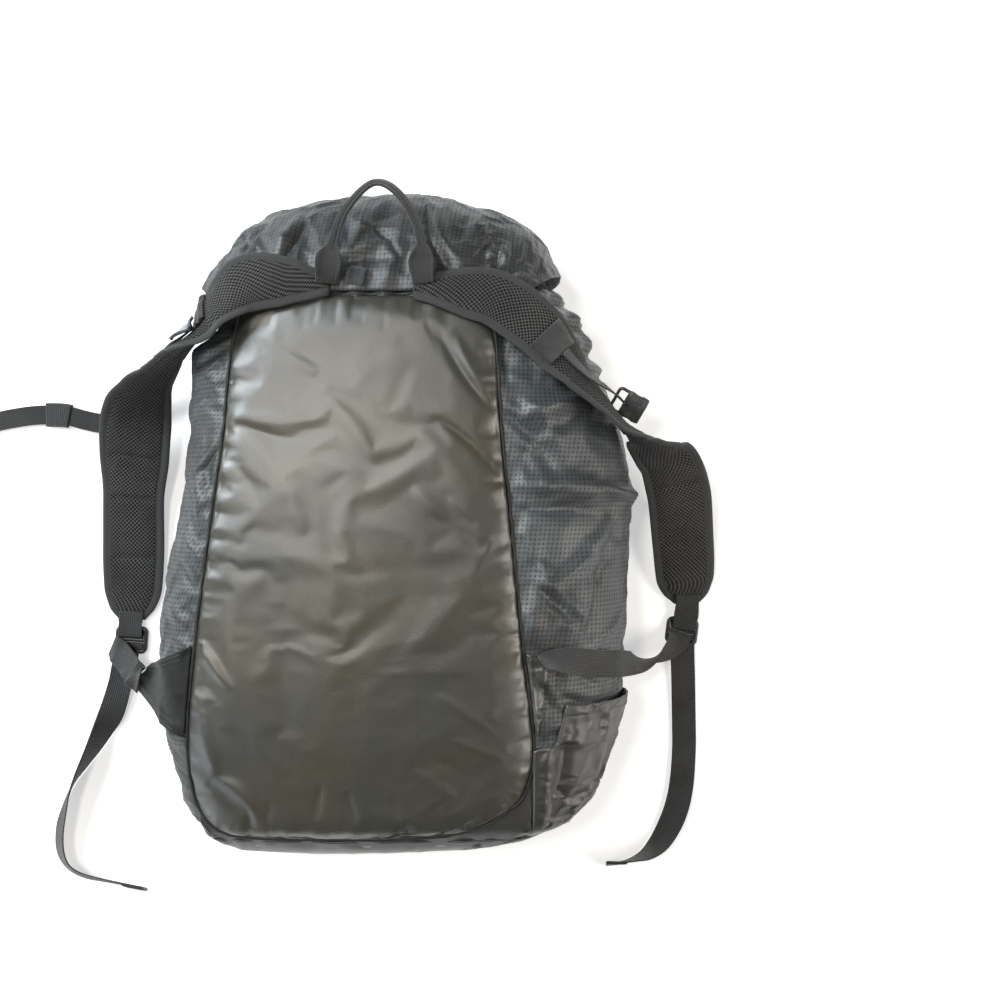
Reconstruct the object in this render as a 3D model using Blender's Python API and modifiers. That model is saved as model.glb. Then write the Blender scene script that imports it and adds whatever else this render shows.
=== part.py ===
"""Lightweight backpack lying on its front, with its shoulder straps spread out beside it.

Metres, +Z up. +Y points to the top of the bag and +X to the right as seen from above. The origin is
on the flat front panel, where the bag rests on the floor.
"""

import math

import bpy
import numpy as np
from mathutils import Matrix, Vector
from mathutils.bvhtree import BVHTree

# Driving dimensions
PACK_LENGTH = 0.584  # from the bottom edge to the mouth of the collar
PACK_WIDTH = 0.464  # across the widest place, low on the sides
PACK_DEPTH = 0.140  # from the front panel to the crown of the back
LID_REACH = 0.1095  # how far the lid stands out past the back panel
CLOTH_WALL = 0.0020
PANEL_THICKNESS = 0.0060
PANEL_EDGE_THICKNESS = 0.0025
PIPING_RADIUS = 0.0016
PIPING_SIDES = 5
SEAM_LAP = 0.008  # how far the bottom panel laps over the body
POCKET_BULGE = 0.0085  # how far the pocket's mouth stands off the body
COLLAR_GATHER = 0.0026  # half the height of the collar's gathers
PAD_WIDTH = 0.066
PAD_THICKNESS = 0.0090
WEBBING_WIDE = 0.025
WEBBING_NARROW = 0.020
RAIL_WEBBING = 0.012
WEBBING_THICKNESS = 0.0016
HANDLE_LIFT = 0.013  # how far the handle stands off the lid
RAIL_RISE = 0.010  # how far the buckle pulls the right rail off the strap
ELASTIC_THICKNESS = 0.0011
TAB_WIDTH = 0.015
TAB_LENGTH = 0.016
TAB_THICKNESS = 0.003
LOCK_WIDTH = 0.034
LOCK_LENGTH = 0.029
LOCK_THICKNESS = 0.0050
LOCK_BAR = 0.0045
SLIDER_WIDTH = 0.030
SLIDER_THICKNESS = 0.003
SLIDER_BOW = 0.0015
SLIDER_GAP = 0.0007  # between the slider and the rail under it
BUCKLE_LENGTH = 0.032
BUCKLE_THICKNESS = 0.0085
BUCKLE_WALL = 0.0035
BUCKLE_SLOT = 0.007
BUCKLE_TILT = 30  # degrees
CLEARANCE = 0.0003  # between pieces that are sewn or rest on each other
SETTLE_ROUNDS = 9  # times that a band is lowered and tested against what it lies on

# The body's cross-sections from the bottom end to the mouth. The y places are shares of
# PACK_LENGTH, the edges and seams shares of PACK_WIDTH, the heights shares of PACK_DEPTH.
BODY_COLUMNS = ("y", "left_edge", "left_seam", "right_seam", "right_edge", "top", "side", "base")
BODY_ROWS = (
    (-0.554, -0.250, -0.216, -0.010, 0.040, 0.443, 0.357, 0.286),
    (-0.545, -0.310, -0.262, 0.060, 0.110, 0.560, 0.357, 0.170),
    (-0.532, -0.346, -0.285, 0.160, 0.235, 0.670, 0.357, 0.090),
    (-0.515, -0.370, -0.318, 0.240, 0.335, 0.743, 0.357, 0.045),
    (-0.479, -0.410, -0.350, 0.280, 0.412, 0.843, 0.357, 0.000),
    (-0.411, -0.456, -0.375, 0.297, 0.462, 0.871, 0.357, 0.000),
    (-0.325, -0.483, -0.379, 0.297, 0.491, 0.907, 0.357, 0.000),
    (-0.205, -0.488, -0.362, 0.278, 0.502, 0.929, 0.343, 0.000),
    (-0.068, -0.468, -0.341, 0.261, 0.506, 0.929, 0.329, 0.000),
    (0.038, -0.431, -0.323, 0.248, 0.514, 0.929, 0.321, 0.000),
    (0.137, -0.418, -0.306, 0.235, 0.491, 0.921, 0.343, 0.000),
    (0.223, -0.414, -0.293, 0.226, 0.457, 0.914, 0.357, 0.000),
    (0.274, -0.409, -0.289, 0.224, 0.433, 0.907, 0.371, 0.000),
    (0.317, -0.345, -0.280, 0.222, 0.416, 0.900, 0.386, 0.000),
    (0.363, -0.321, -0.263, 0.211, 0.371, 0.857, 0.393, 0.029),
    (0.404, -0.289, -0.233, 0.190, 0.323, 0.743, 0.400, 0.100),
    (0.449, -0.226, -0.181, 0.155, 0.254, 0.614, 0.407, 0.214),
)
TOP_POINTS = 13  # points of a section between the seams
SIDE_HIGH, SIDE_LOW = 8, 4  # points of a side above and below its widest place
FRONT_POINTS = 7  # points of a section under the bag
BODY_STATIONS = 22
CROWN = 0.043  # the back's rise between the seams, a share of PACK_DEPTH
LEFT_FOOT_INSET = 0.086  # from the widest place in to the flat front, a share of PACK_WIDTH
RIGHT_FOOT_INSET = 0.150
FOLD_FADE = 0.30  # height over which the folds grow, a share of PACK_DEPTH
COLLAR_START = 0.30  # where the collar's gathers begin, a share of PACK_LENGTH

# Main folds and pulls: the two ends in shares of PACK_WIDTH and PACK_LENGTH, and the half width
# and depth in shares of PACK_DEPTH.
FOLD_COLUMNS = ("x0", "y0", "x1", "y1", "half_width", "depth")
FOLDS = (
    (0.118, 0.300, 0.222, 0.155, 0.070, 0.060),
    (0.098, 0.160, 0.196, 0.051, 0.075, 0.050),
    (-0.330, -0.170, -0.230, -0.260, 0.080, -0.036),
    (-0.270, 0.125, -0.130, 0.070, 0.090, -0.030),
    (0.275, -0.028, 0.396, -0.092, 0.090, 0.070),
    (0.305, -0.124, 0.386, -0.164, 0.090, 0.050),
    (0.419, -0.061, 0.388, -0.191, 0.090, 0.080),
    (0.250, 0.120, 0.350, 0.040, 0.080, 0.060),
    (0.300, 0.205, 0.400, 0.120, 0.090, -0.045),
)

# The back panel's left and right edges as horizontal chords, shares of PACK_LENGTH and PACK_WIDTH.
PANEL_COLUMNS = ("y", "left", "right")
PANEL_ROWS = (
    (-0.500, -0.215, 0.030),
    (-0.495, -0.287, 0.100),
    (-0.484, -0.322, 0.172),
    (-0.462, -0.350, 0.230),
    (-0.425, -0.368, 0.280),
    (-0.360, -0.378, 0.298),
    (-0.205, -0.362, 0.278),
    (-0.068, -0.341, 0.261),
    (0.038, -0.323, 0.248),
    (0.137, -0.306, 0.235),
    (0.274, -0.289, 0.224),
    (0.355, -0.265, 0.212),
)

# The lid by stations from its left corner to its right one: where it is sewn on, how far it
# reaches out and where its front edge ends. Shares of PACK_WIDTH across. The reach and the front
# edge are shares of LID_REACH past the place where it is sewn on.
LID_COLUMNS = ("sewn_x", "sewn_drop", "reach_x", "reach", "front_x", "front")
LID_ROWS = (
    (-0.310, -0.030, -0.392, 0.150, -0.340, 0.120),
    (-0.282, 0.000, -0.334, 0.470, -0.290, 0.300),
    (-0.215, 0.000, -0.262, 0.770, -0.215, 0.470),
    (-0.110, 0.000, -0.112, 0.935, -0.100, 0.570),
    (-0.015, 0.000, 0.030, 1.000, 0.020, 0.590),
    (0.080, 0.000, 0.150, 0.915, 0.130, 0.560),
    (0.160, 0.000, 0.259, 0.775, 0.215, 0.460),
    (0.215, 0.000, 0.320, 0.600, 0.275, 0.340),
    (0.268, -0.010, 0.364, 0.250, 0.330, 0.220),
)
LID_SIDE = 0.41  # height of the lid's furthest line, a share of PACK_DEPTH
LID_HEM = 0.045  # height of its front hem
LID_CREASES = ((0.24, 0.020), (0.55, 0.016), (0.80, 0.022))  # place across, depth in PACK_DEPTH
LID_CREASE_WIDTH = 0.035  # half width, a share of the way across
LID_STATIONS = 21

# The shoulder straps from the root to the ladder lock: centre in shares of PACK_WIDTH and
# PACK_LENGTH, width in shares of PAD_WIDTH, thickness in shares of PAD_THICKNESS, the roll in
# degrees (0 has the outer face up, 180 the mesh face) and a lift in shares of PACK_DEPTH.
STRAP_COLUMNS = ("x", "y", "width", "thickness", "roll", "lift")
STRAP_LEFT = (
    (-0.100, 0.370, 0.30, 0.45, 0, 0.00),
    (-0.140, 0.372, 0.50, 0.70, 0, 0.00),
    (-0.190, 0.375, 0.74, 0.95, 0, 0.00),
    (-0.265, 0.370, 0.90, 1.00, 0, 0.00),
    (-0.332, 0.326, 0.90, 1.00, 14, 0.010),
    (-0.359, 0.304, 0.86, 1.00, 34, 0.010),
    (-0.398, 0.286, 0.82, 1.00, 62, 0.010),
    (-0.425, 0.276, 0.80, 1.00, 76, 0.00),
    (-0.469, 0.256, 0.80, 1.00, 92, 0.00),
    (-0.511, 0.232, 0.82, 1.00, 112, 0.00),
    (-0.541, 0.201, 0.96, 1.00, 138, 0.00),
    (-0.559, 0.162, 1.04, 1.00, 160, 0.00),
    (-0.571, 0.116, 1.06, 1.00, 174, 0.00),
    (-0.583, 0.036, 0.96, 1.00, 180, 0.00),
    (-0.588, -0.053, 0.97, 1.00, 180, 0.00),
    (-0.591, -0.120, 0.92, 0.95, 180, 0.00),
    (-0.594, -0.157, 0.72, 0.80, 180, 0.00),
    (-0.595, -0.178, 0.42, 0.50, 180, 0.00),
)
STRAP_RIGHT = (
    (0.066, 0.362, 0.26, 0.45, 0, 0.00),
    (0.112, 0.363, 0.50, 0.70, 0, 0.00),
    (0.178, 0.357, 0.78, 0.95, 0, 0.00),
    (0.235, 0.346, 0.86, 1.00, 2, 0.00),
    (0.308, 0.305, 0.88, 1.00, 6, 0.00),
    (0.350, 0.267, 0.88, 1.00, 12, 0.00),
    (0.405, 0.219, 0.86, 1.00, 30, 0.00),
    (0.448, 0.185, 0.84, 1.00, 52, 0.00),
    (0.482, 0.156, 0.82, 1.00, 74, 0.00),
    (0.522, 0.135, 0.80, 1.00, 96, 0.00),
    (0.562, 0.115, 0.84, 1.00, 122, 0.00),
    (0.592, 0.097, 0.90, 1.00, 146, 0.00),
    (0.614, 0.062, 0.95, 1.00, 166, 0.00),
    (0.628, 0.025, 0.97, 1.00, 176, 0.00),
    (0.643, -0.050, 0.96, 1.00, 180, 0.00),
    (0.650, -0.100, 0.92, 0.95, 180, 0.00),
    (0.655, -0.130, 0.72, 0.80, 180, 0.00),
    (0.657, -0.148, 0.42, 0.50, 180, 0.00),
)
STRAP_STATIONS = 36

# On the straps, by station: where the sewn band starts and ends, where the rail webbing starts and
# its places from there on, and the slider on the left rail. The buckle hangs at the right rail's end.
BAND = {"left": (9, 10), "right": (10, 12)}
BAND_ACROSS = {"left": (-0.495, 0.12), "right": (-0.36, 0.36)}
RAIL_COLUMNS = ("across", "proud")  # shares of the strap's width and of RAIL_RISE
RAIL = {
    "left": (10, ((0.04, 0.02), (0.04, 0.25), (0.04, 0.25), (0.04, 0.02))),
    "right": (12, ((0.00, 0.08), (0.02, 0.14), (0.02, 0.20), (-0.02, 0.30), (-0.15, 0.46), (-0.30, 0.70),
                   (-0.40, 1.00))),
}
SLIDER = (10, 12)
SLIDER_ACROSS = 0.04  # where its middle lies, a share of the strap's width
BUCKLE = (0.5015, 0.193, -28, 0.585)  # shares of PACK_WIDTH and PACK_LENGTH, turn, share of PACK_DEPTH

# Webbing that hangs or lies loose: centre in shares of PACK_WIDTH and PACK_LENGTH, the roll in
# degrees and the lift in shares of PACK_DEPTH.
WEBBING_COLUMNS = ("x", "y", "roll", "lift")
TAIL_LEFT = (
    (-0.603, -0.2345, 0, 0.00),
    (-0.611, -0.262, 0, 0.00),
    (-0.618, -0.290, 0, 0.00),
    (-0.635, -0.340, 18, 0.00),
    (-0.654, -0.374, 50, 0.00),
    (-0.675, -0.408, 70, 0.00),
    (-0.700, -0.443, 88, 0.00),
    (-0.724, -0.479, 108, 0.00),
    (-0.739, -0.516, 122, 0.00),
    (-0.749, -0.552, 130, 0.00),
    (-0.748, -0.588, 132, 0.00),
    (-0.732, -0.614, 128, 0.00),
    (-0.700, -0.630, 124, 0.00),
    (-0.646, -0.640, 119, 0.00),
    (-0.560, -0.653, 116, 0.00),
)
TAIL_RIGHT = (
    (0.645, -0.2195, 0, 0.00),
    (0.646, -0.250, 0, 0.00),
    (0.648, -0.287, 0, 0.00),
    (0.650, -0.359, 0, 0.00),
    (0.650, -0.413, 0, 0.00),
    (0.643, -0.475, 8, 0.00),
    (0.627, -0.523, 24, 0.00),
    (0.598, -0.565, 48, 0.00),
    (0.568, -0.588, 76, 0.00),
    (0.539, -0.599, 98, 0.00),
    (0.509, -0.606, 110, 0.00),
    (0.472, -0.608, 116, 0.00),
)
LOWER_LEFT = (
    (-0.540, -0.275, 0, 0.000),
    (-0.579, -0.254, 0, 0.020),
    (-0.611, -0.237, 0, 0.000),
    (-0.636, -0.223, 0, 0.000),
)
LOWER_RIGHT = (
    (0.330, -0.224, 40, 0.00),
    (0.356, -0.216, 24, 0.00),
    (0.390, -0.217, 10, 0.00),
    (0.437, -0.226, 0, 0.00),
    (0.482, -0.232, 14, 0.00),
    (0.530, -0.240, 62, 0.00),
    (0.575, -0.240, 110, 0.02),
    (0.610, -0.230, 150, 0.02),
    (0.632, -0.214, 172, 0.01),
    (0.640, -0.198, 180, 0.00),
)
PAD_WEBBING_LEFT = ((-0.594, -0.164, 0, 0.00), (-0.596, -0.190, 0, 0.00), (-0.597, -0.208, 0, 0.00))
PAD_WEBBING_RIGHT = ((0.657, -0.134, 0, 0.00), (0.654, -0.165, 0, 0.00), (0.648, -0.194, 0, 0.00))
STERNUM = (
    (-0.490, 0.2715, 0, 0.362),
    (-0.528, 0.242, 0, 0.11),
    (-0.568, 0.210, 0, 0.04),
    (-0.614, 0.188, 0, 0.02),
    (-0.651, 0.173, 0, 0.018),
    (-0.696, 0.178, 0, 0.018),
    (-0.735, 0.186, 0, 0.018),
    (-0.770, 0.188, 0, 0.018),
    (-0.814, 0.187, 0, 0.03),
    (-0.867, 0.181, 0, 0.02),
    (-0.915, 0.173, 0, 0.02),
)
STERNUM_STATIONS = 19
STERNUM_KEEPER = (11, 13)  # stations between which the elastic keeper lies
STERNUM_CLIP_LENGTH = 0.034

# Ladder locks: centre in shares of PACK_WIDTH and PACK_LENGTH, and turn in degrees.
LOCK_LEFT = (-0.596, -0.214, -4)
LOCK_RIGHT = (0.645, -0.199, -7)

# The grab handle from foot to foot. The webbing is folded narrow between the two pinches.
HANDLE_COLUMNS = ("x", "y", "width", "lift")
HANDLE_ROWS = (
    (-0.104, 0.372, 1.00, 0.0),
    (-0.101, 0.385, 1.00, 0.3),
    (-0.098, 0.402, 1.05, 0.8),
    (-0.093, 0.418, 0.85, 1.0),
    (-0.089, 0.434, 0.46, 1.0),
    (-0.075, 0.473, 0.44, 1.0),
    (-0.056, 0.498, 0.44, 1.2),
    (-0.034, 0.518, 0.46, 1.5),
    (-0.012, 0.529, 0.50, 1.8),
    (0.011, 0.527, 0.50, 1.8),
    (0.036, 0.512, 0.46, 1.5),
    (0.059, 0.486, 0.44, 1.2),
    (0.074, 0.460, 0.44, 1.0),
    (0.082, 0.434, 0.46, 1.0),
    (0.083, 0.418, 0.85, 1.0),
    (0.083, 0.402, 1.05, 0.8),
    (0.084, 0.385, 1.00, 0.3),
    (0.086, 0.372, 1.00, 0.0),
)
TAB_PLACE = (-0.046, 0.386)  # shares of PACK_WIDTH and PACK_LENGTH
TAB_TURN = 14  # degrees

# The wings: the two ends on the panel's seam in shares of PACK_LENGTH, the two corners at the
# webbing in shares of PACK_WIDTH and PACK_LENGTH, and their height in shares of PACK_DEPTH.
WING_LEFT = {"seam": (-0.190, -0.335), "tip": ((-0.526, -0.252), (-0.569, -0.285)), "height": 0.20}
WING_RIGHT = {"seam": (-0.205, -0.330), "tip": ((0.328, -0.212), (0.312, -0.318)), "height": 0.86}

# The pocket on the right side: bottom and hem along the bag in shares of PACK_LENGTH, inner edge
# at those two places in shares of PACK_WIDTH.
POCKET = {"bottom": -0.494, "hem": -0.286, "inner_bottom": 0.300, "inner_hem": 0.366}


# Materials

def material(name, colour, roughness, metallic=0.0):
    made = bpy.data.materials.new(name)
    made.use_nodes = True
    shader = made.node_tree.nodes["Principled BSDF"]
    shader.inputs["Base Color"].default_value = (*colour, 1.0)
    shader.inputs["Roughness"].default_value = roughness
    shader.inputs["Metallic"].default_value = metallic
    return made


# Curves and tables

def column(rows, columns, name):
    """One named column of a table as an array."""
    return np.array([row[columns.index(name)] for row in rows], float)


def through(knots, values, x):
    """Smooth curve through the table's values that never swings past them (monotone cubic)."""
    step = np.diff(knots)
    slope = np.diff(values) / step
    same = slope[:-1] * slope[1:] > 0
    before, after = np.where(same, slope[:-1], 1.0), np.where(same, slope[1:], 1.0)
    far, near = 2 * step[1:] + step[:-1], step[1:] + 2 * step[:-1]
    inner = np.where(same, (far + near) / (far / before + near / after), 0.0)
    tangent = np.concatenate([slope[:1], inner, slope[-1:]])
    i = np.clip(np.searchsorted(knots, x) - 1, 0, len(step) - 1)
    t = np.clip((x - knots[i]) / step[i], 0.0, 1.0)
    return (
        values[i] * (1 + 2 * t) * (1 - t) ** 2
        + tangent[i] * step[i] * t * (1 - t) ** 2
        + values[i + 1] * t**2 * (3 - 2 * t)
        + tangent[i + 1] * step[i] * t**2 * (t - 1)
    )


def along(rows, columns, names, share):
    """The named columns at shares of the distance along the table's x, y points."""
    points = np.stack([column(rows, columns, "x") * PACK_WIDTH, column(rows, columns, "y") * PACK_LENGTH])
    knots = np.concatenate([[0], np.cumsum(np.hypot(*np.diff(points)))])
    at = np.asarray(share) * knots[-1]
    return [through(knots, column(rows, columns, name), at) for name in names]


def smooth_path(points, count):
    """Catmull-Rom curve through the points, read again at equal distances."""
    points = np.asarray(points, float)
    padded = np.concatenate([[2 * points[0] - points[1]], points, [2 * points[-1] - points[-2]]])
    t = np.linspace(0, 1, 12, endpoint=False)[:, None]
    pieces = []
    for a, b, c, d in zip(padded, padded[1:], padded[2:], padded[3:]):
        pieces.append(
            0.5 * (2 * b + (c - a) * t + (2 * a - 5 * b + 4 * c - d) * t**2 + (3 * b - a - 3 * c + d) * t**3)
        )
    fine = np.concatenate([*pieces, points[-1:]])
    length = np.concatenate([[0], np.cumsum(np.linalg.norm(np.diff(fine, axis=0), axis=1))])
    at = np.linspace(0, length[-1], count)
    return np.stack([np.interp(at, length, fine[:, k]) for k in range(points.shape[1])], axis=1)


def unit(vectors):
    return vectors / np.linalg.norm(vectors, axis=-1, keepdims=True)


# Meshes

parts = bpy.data.collections.new("lightweight_backpack")
cutters = bpy.data.collections.new("cutters")


def start_scene():
    for obj in list(bpy.data.objects):
        bpy.data.objects.remove(obj, do_unlink=True)
    bpy.context.scene.collection.children.link(parts)
    bpy.context.scene.collection.children.link(cutters)


def add_object(name, vertices, faces, finish, collection=parts):
    mesh = bpy.data.meshes.new(name)
    mesh.from_pydata(vertices, [], faces)
    if finish:
        mesh.materials.append(finish)
    mesh.shade_smooth()
    mesh.set_sharp_from_angle(angle=math.radians(40))
    obj = bpy.data.objects.new(name, mesh)
    collection.objects.link(obj)
    return obj


def grid_faces(rows, columns, closed, first=0):
    """Quads over a grid of points. A closed grid joins its last column to its first."""
    i, j = np.meshgrid(np.arange(rows - 1), np.arange(columns if closed else columns - 1), indexing="ij")
    across = (j + 1) % columns
    quads = np.stack([i * columns + j, i * columns + across, (i + 1) * columns + across, (i + 1) * columns + j], -1)
    return (quads.reshape(-1, 4) + first).tolist()


def loft(name, rings, finish, caps=(True, True)):
    """A closed tube over rings of points, all of one count, capped where asked."""
    rows, columns = rings.shape[:2]
    faces = grid_faces(rows, columns, True)
    if caps[0]:
        faces.append(list(range(columns))[::-1])
    if caps[1]:
        faces.append(list(range((rows - 1) * columns, rows * columns)))
    return add_object(name, rings.reshape(-1, 3).tolist(), faces, finish)


def sheet_between(name, low, high, finish):
    """A closed sheet between two grids of one size, the high one outside."""
    rows, columns = low.shape[:2]
    count = rows * columns
    under = [face[:1] + face[:0:-1] for face in grid_faces(rows, columns, False)]
    over = grid_faces(rows, columns, False, count)
    index = np.arange(count).reshape(rows, columns)
    rim = np.concatenate([index[0, :], index[1:, -1], index[-1, -2::-1], index[-2:0:-1, 0]])
    ahead = np.roll(rim, -1)
    sides = np.stack([rim, ahead, ahead + count, rim + count], -1).tolist()
    points = np.concatenate([low.reshape(-1, 3), high.reshape(-1, 3)])
    return add_object(name, points.tolist(), under + over + sides, finish)


def solidify(obj, thickness, outward):
    wall = obj.modifiers.new("wall", "SOLIDIFY")
    wall.thickness = thickness
    wall.offset = 1.0 if outward else -1.0
    wall.use_even_offset = True
    return obj


class Ground:
    """The floor and the pieces made so far, to lay the next piece on."""

    def __init__(self):
        self.trees = []

    def add(self, *objects):
        graph = bpy.context.evaluated_depsgraph_get()
        graph.update()
        self.trees += [BVHTree.FromObject(obj, graph) for obj in objects]

    def height(self, x, y):
        top = 0.0
        start, down = Vector((x, y, 1.0)), Vector((0, 0, -1))
        for tree in self.trees:
            hit = tree.ray_cast(start, down)[0]
            if hit is not None:
                top = max(top, hit.z)
        return top

    def heights(self, points, around=0.001):
        """Highest surface at or close round each plan point."""
        near = ((0, 0), (around, 0), (-around, 0), (0, around), (0, -around))
        flat = points.reshape(-1, points.shape[-1])
        tops = [max(self.height(x + dx, y + dy) for dx, dy in near) for x, y in flat[:, :2]]
        return np.array(tops).reshape(points.shape[:-1])


# The body

def fold_height(x, y):
    """How far the main folds lower the cloth at a plan point."""
    lowered = np.zeros(np.broadcast(x, y).shape)
    for x0, y0, x1, y1, half_width, depth in FOLDS:
        start = np.array([x0 * PACK_WIDTH, y0 * PACK_LENGTH])
        line = np.array([x1 * PACK_WIDTH, y1 * PACK_LENGTH]) - start
        length = np.hypot(*line)
        share = ((x - start[0]) * line[0] + (y - start[1]) * line[1]) / length**2
        aside = ((x - start[0]) * -line[1] + (y - start[1]) * line[0]) / length
        fade = np.clip(1 - (2 * share - 1) ** 2, 0, None)
        lowered += depth * PACK_DEPTH * fade * np.exp(-((aside / (half_width * PACK_DEPTH)) ** 2))
    return lowered


def body_section(y):
    """The section's edges, seams and heights in metres at places along the bag."""
    knots = column(BODY_ROWS, BODY_COLUMNS, "y") * PACK_LENGTH
    widths = [through(knots, column(BODY_ROWS, BODY_COLUMNS, n), y) * PACK_WIDTH for n in BODY_COLUMNS[1:5]]
    heights = [through(knots, column(BODY_ROWS, BODY_COLUMNS, n), y) * PACK_DEPTH for n in BODY_COLUMNS[5:]]
    return (*widths, *heights)


def body_ring(y, spread=0.0):
    """Points round the body at y, from the left seam over the back and round under the front.

    Each side is two quarter ellipses that meet at its widest place. Spread moves all outwards.
    """
    left, left_seam, right_seam, right, top, side, base = body_section(y)
    left_foot = left + LEFT_FOOT_INSET * PACK_WIDTH
    right_foot = right - RIGHT_FOOT_INSET * PACK_WIDTH
    across = np.linspace(0, 1, TOP_POINTS)
    upper = np.linspace(0, math.pi / 2, SIDE_HIGH + 1)[1:]
    lower = np.linspace(0, math.pi / 2, SIDE_LOW + 1)[1:]
    under = np.linspace(0, 1, FRONT_POINTS + 1)[1:]
    left_low, left_up = lower[::-1] - lower[0], np.linspace(math.pi / 2, 0, SIDE_LOW + 2)[1:-1]
    crown = CROWN * PACK_DEPTH * (1 - (2 * across - 1) ** 2)
    x = np.concatenate([
        left_seam + (right_seam - left_seam) * across,
        right_seam + (right - right_seam) * np.sin(upper),
        right_foot + (right - right_foot) * np.cos(lower),
        right_foot + (left_foot - right_foot) * under,
        left_foot + (left - left_foot) * np.cos(left_low),
        left_seam + (left - left_seam) * np.sin(left_up),
    ])
    z = np.concatenate([
        top + crown,
        side + (top - side) * np.cos(upper),
        base + (side - base) * (1 - np.sin(lower)),
        np.full(len(under), base),
        base + (side - base) * (1 - np.sin(left_low)),
        side + (top - side) * np.cos(left_up),
    ])
    high = np.clip((z - side) / (FOLD_FADE * PACK_DEPTH), 0, 1)
    z = z - fold_height(x, np.full_like(x, y)) * high
    ring = np.stack([x, np.full_like(x, y), z], axis=1)
    onward = np.roll(ring, -1, axis=0) - np.roll(ring, 1, axis=0)
    normal = unit(np.stack([-onward[:, 2], np.zeros(len(x)), onward[:, 0]], axis=1))
    rest_on_floor = (ring[:, 2] <= base + 1e-6)[:, None] * (base <= 0)
    return ring + np.where(rest_on_floor, 0, normal * spread)


def collar_gathers(y, count):
    """Height of the gathers round the collar, four points to a gather, growing to the mouth."""
    start, mouth = COLLAR_START * PACK_LENGTH, BODY_ROWS[-1][0] * PACK_LENGTH
    grown = np.clip((y - start) / (mouth - start), 0, 1)
    return COLLAR_GATHER * grown * np.cos(np.arange(count) * math.pi / 2)


def panel_bottom():
    return PANEL_ROWS[0][0] * PACK_LENGTH


def cup_edge():
    """Where the bottom panel's upper edge lies, below the piping."""
    return panel_bottom() - 2 * PIPING_RADIUS - 4 * CLEARANCE


def body_stations():
    mouth = BODY_ROWS[-1][0] * PACK_LENGTH
    return np.array([cup_edge() - SEAM_LAP, *np.linspace(cup_edge(), mouth, BODY_STATIONS)])


def make_body(finish):
    rings = []
    for y in body_stations():
        ring = body_ring(y)
        gather = collar_gathers(y, len(ring))
        centre = ring.mean(axis=0)
        out = unit((ring - centre) * (1, 0, 1))
        rings.append(ring + out * gather[:, None] * (ring[:, 2:] > CLOTH_WALL))
    return solidify(loft("bag_body", np.array(rings), finish, (False, False)), CLOTH_WALL, False)


def make_bottom(finish):
    start = BODY_ROWS[0][0] * PACK_LENGTH
    gap = 3 * CLEARANCE
    lap = cup_edge() - SEAM_LAP
    stations = [*(start + (lap - start) * np.array([0.0, 0.16, 0.50])), lap, cup_edge()]
    rings = np.array([body_ring(y, gap) for y in stations])
    return solidify(loft("bottom_panel", rings, finish, (True, False)), CLOTH_WALL, True)


# The back panel and its piping

def panel_outline(y):
    knots = column(PANEL_ROWS, PANEL_COLUMNS, "y") * PACK_LENGTH
    return [through(knots, column(PANEL_ROWS, PANEL_COLUMNS, n), y) * PACK_WIDTH for n in ("left", "right")]


def panel_grid():
    """Plan points over the panel, in line with the body's own and closer at the lower corners."""
    top = PANEL_ROWS[-1][0] * PACK_LENGTH
    inside = [y for y in body_stations() if panel_bottom() < y < top]
    corner = panel_bottom() + (inside[2] - panel_bottom()) * np.array([0.0, 0.07, 0.22, 0.45, 0.75])
    y = np.array(sorted([*corner, *inside, top]))
    left, right = panel_outline(y)
    across = np.linspace(0, 1, TOP_POINTS)
    x = left[:, None] + (right - left)[:, None] * across
    return np.stack([x, np.broadcast_to(y[:, None], x.shape)], axis=-1)


def make_back_panel(ground, finish):
    plan = panel_grid()
    low = ground.heights(plan, 0.0) + 2 * CLEARANCE
    from_end, from_side = (np.minimum(np.arange(n), n - 1 - np.arange(n)) for n in low.shape)
    filled = np.minimum.outer(np.clip(from_end, 0, 1), np.clip(from_side / 2, 0, 1))
    padding = PANEL_EDGE_THICKNESS + (PANEL_THICKNESS - PANEL_EDGE_THICKNESS) * filled
    high = low + padding
    return sheet_between(
        "back_panel", np.dstack([plan, low]), np.dstack([plan, high]), finish
    )


def make_piping(ground, finish):
    """A round cord that follows the panel's outline a little outside it."""
    plan = panel_grid()
    rim = np.concatenate([plan[0, :], plan[1:, -1], plan[-1, -2::-1], plan[-2:0:-1, 0]])
    ahead = np.roll(rim, -1, axis=0) - rim
    edge_out = unit(np.stack([ahead[:, 1], -ahead[:, 0]], axis=1))
    outward = unit(edge_out + np.roll(edge_out, 1, axis=0))
    mitre = 1 / np.clip((outward * edge_out).sum(axis=1), 0.6, 1)
    loop = rim + outward * (mitre * (PIPING_RADIUS + 2 * CLEARANCE))[:, None]
    z = ground.heights(loop) + PIPING_RADIUS + CLEARANCE
    centre = np.column_stack([loop, z])
    angle = -np.arange(PIPING_SIDES) * math.tau / PIPING_SIDES
    side = np.column_stack([outward, np.zeros(len(loop))])
    rings = centre[:, None] + PIPING_RADIUS * (
        side[:, None] * np.cos(angle)[:, None] + np.array([0, 0, 1]) * np.sin(angle)[:, None]
    )
    rows, columns = rings.shape[:2]
    quads = np.array(grid_faces(rows + 1, columns, True)) % (rows * columns)
    return add_object("panel_piping", rings.reshape(-1, 3).tolist(), quads.tolist(), finish)


# The lid

def lid_line():
    """Where the lid is sewn on, just past the piping at the top of the panel."""
    return PANEL_ROWS[-1][0] * PACK_LENGTH + 2 * PIPING_RADIUS + 5 * CLEARANCE


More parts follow.
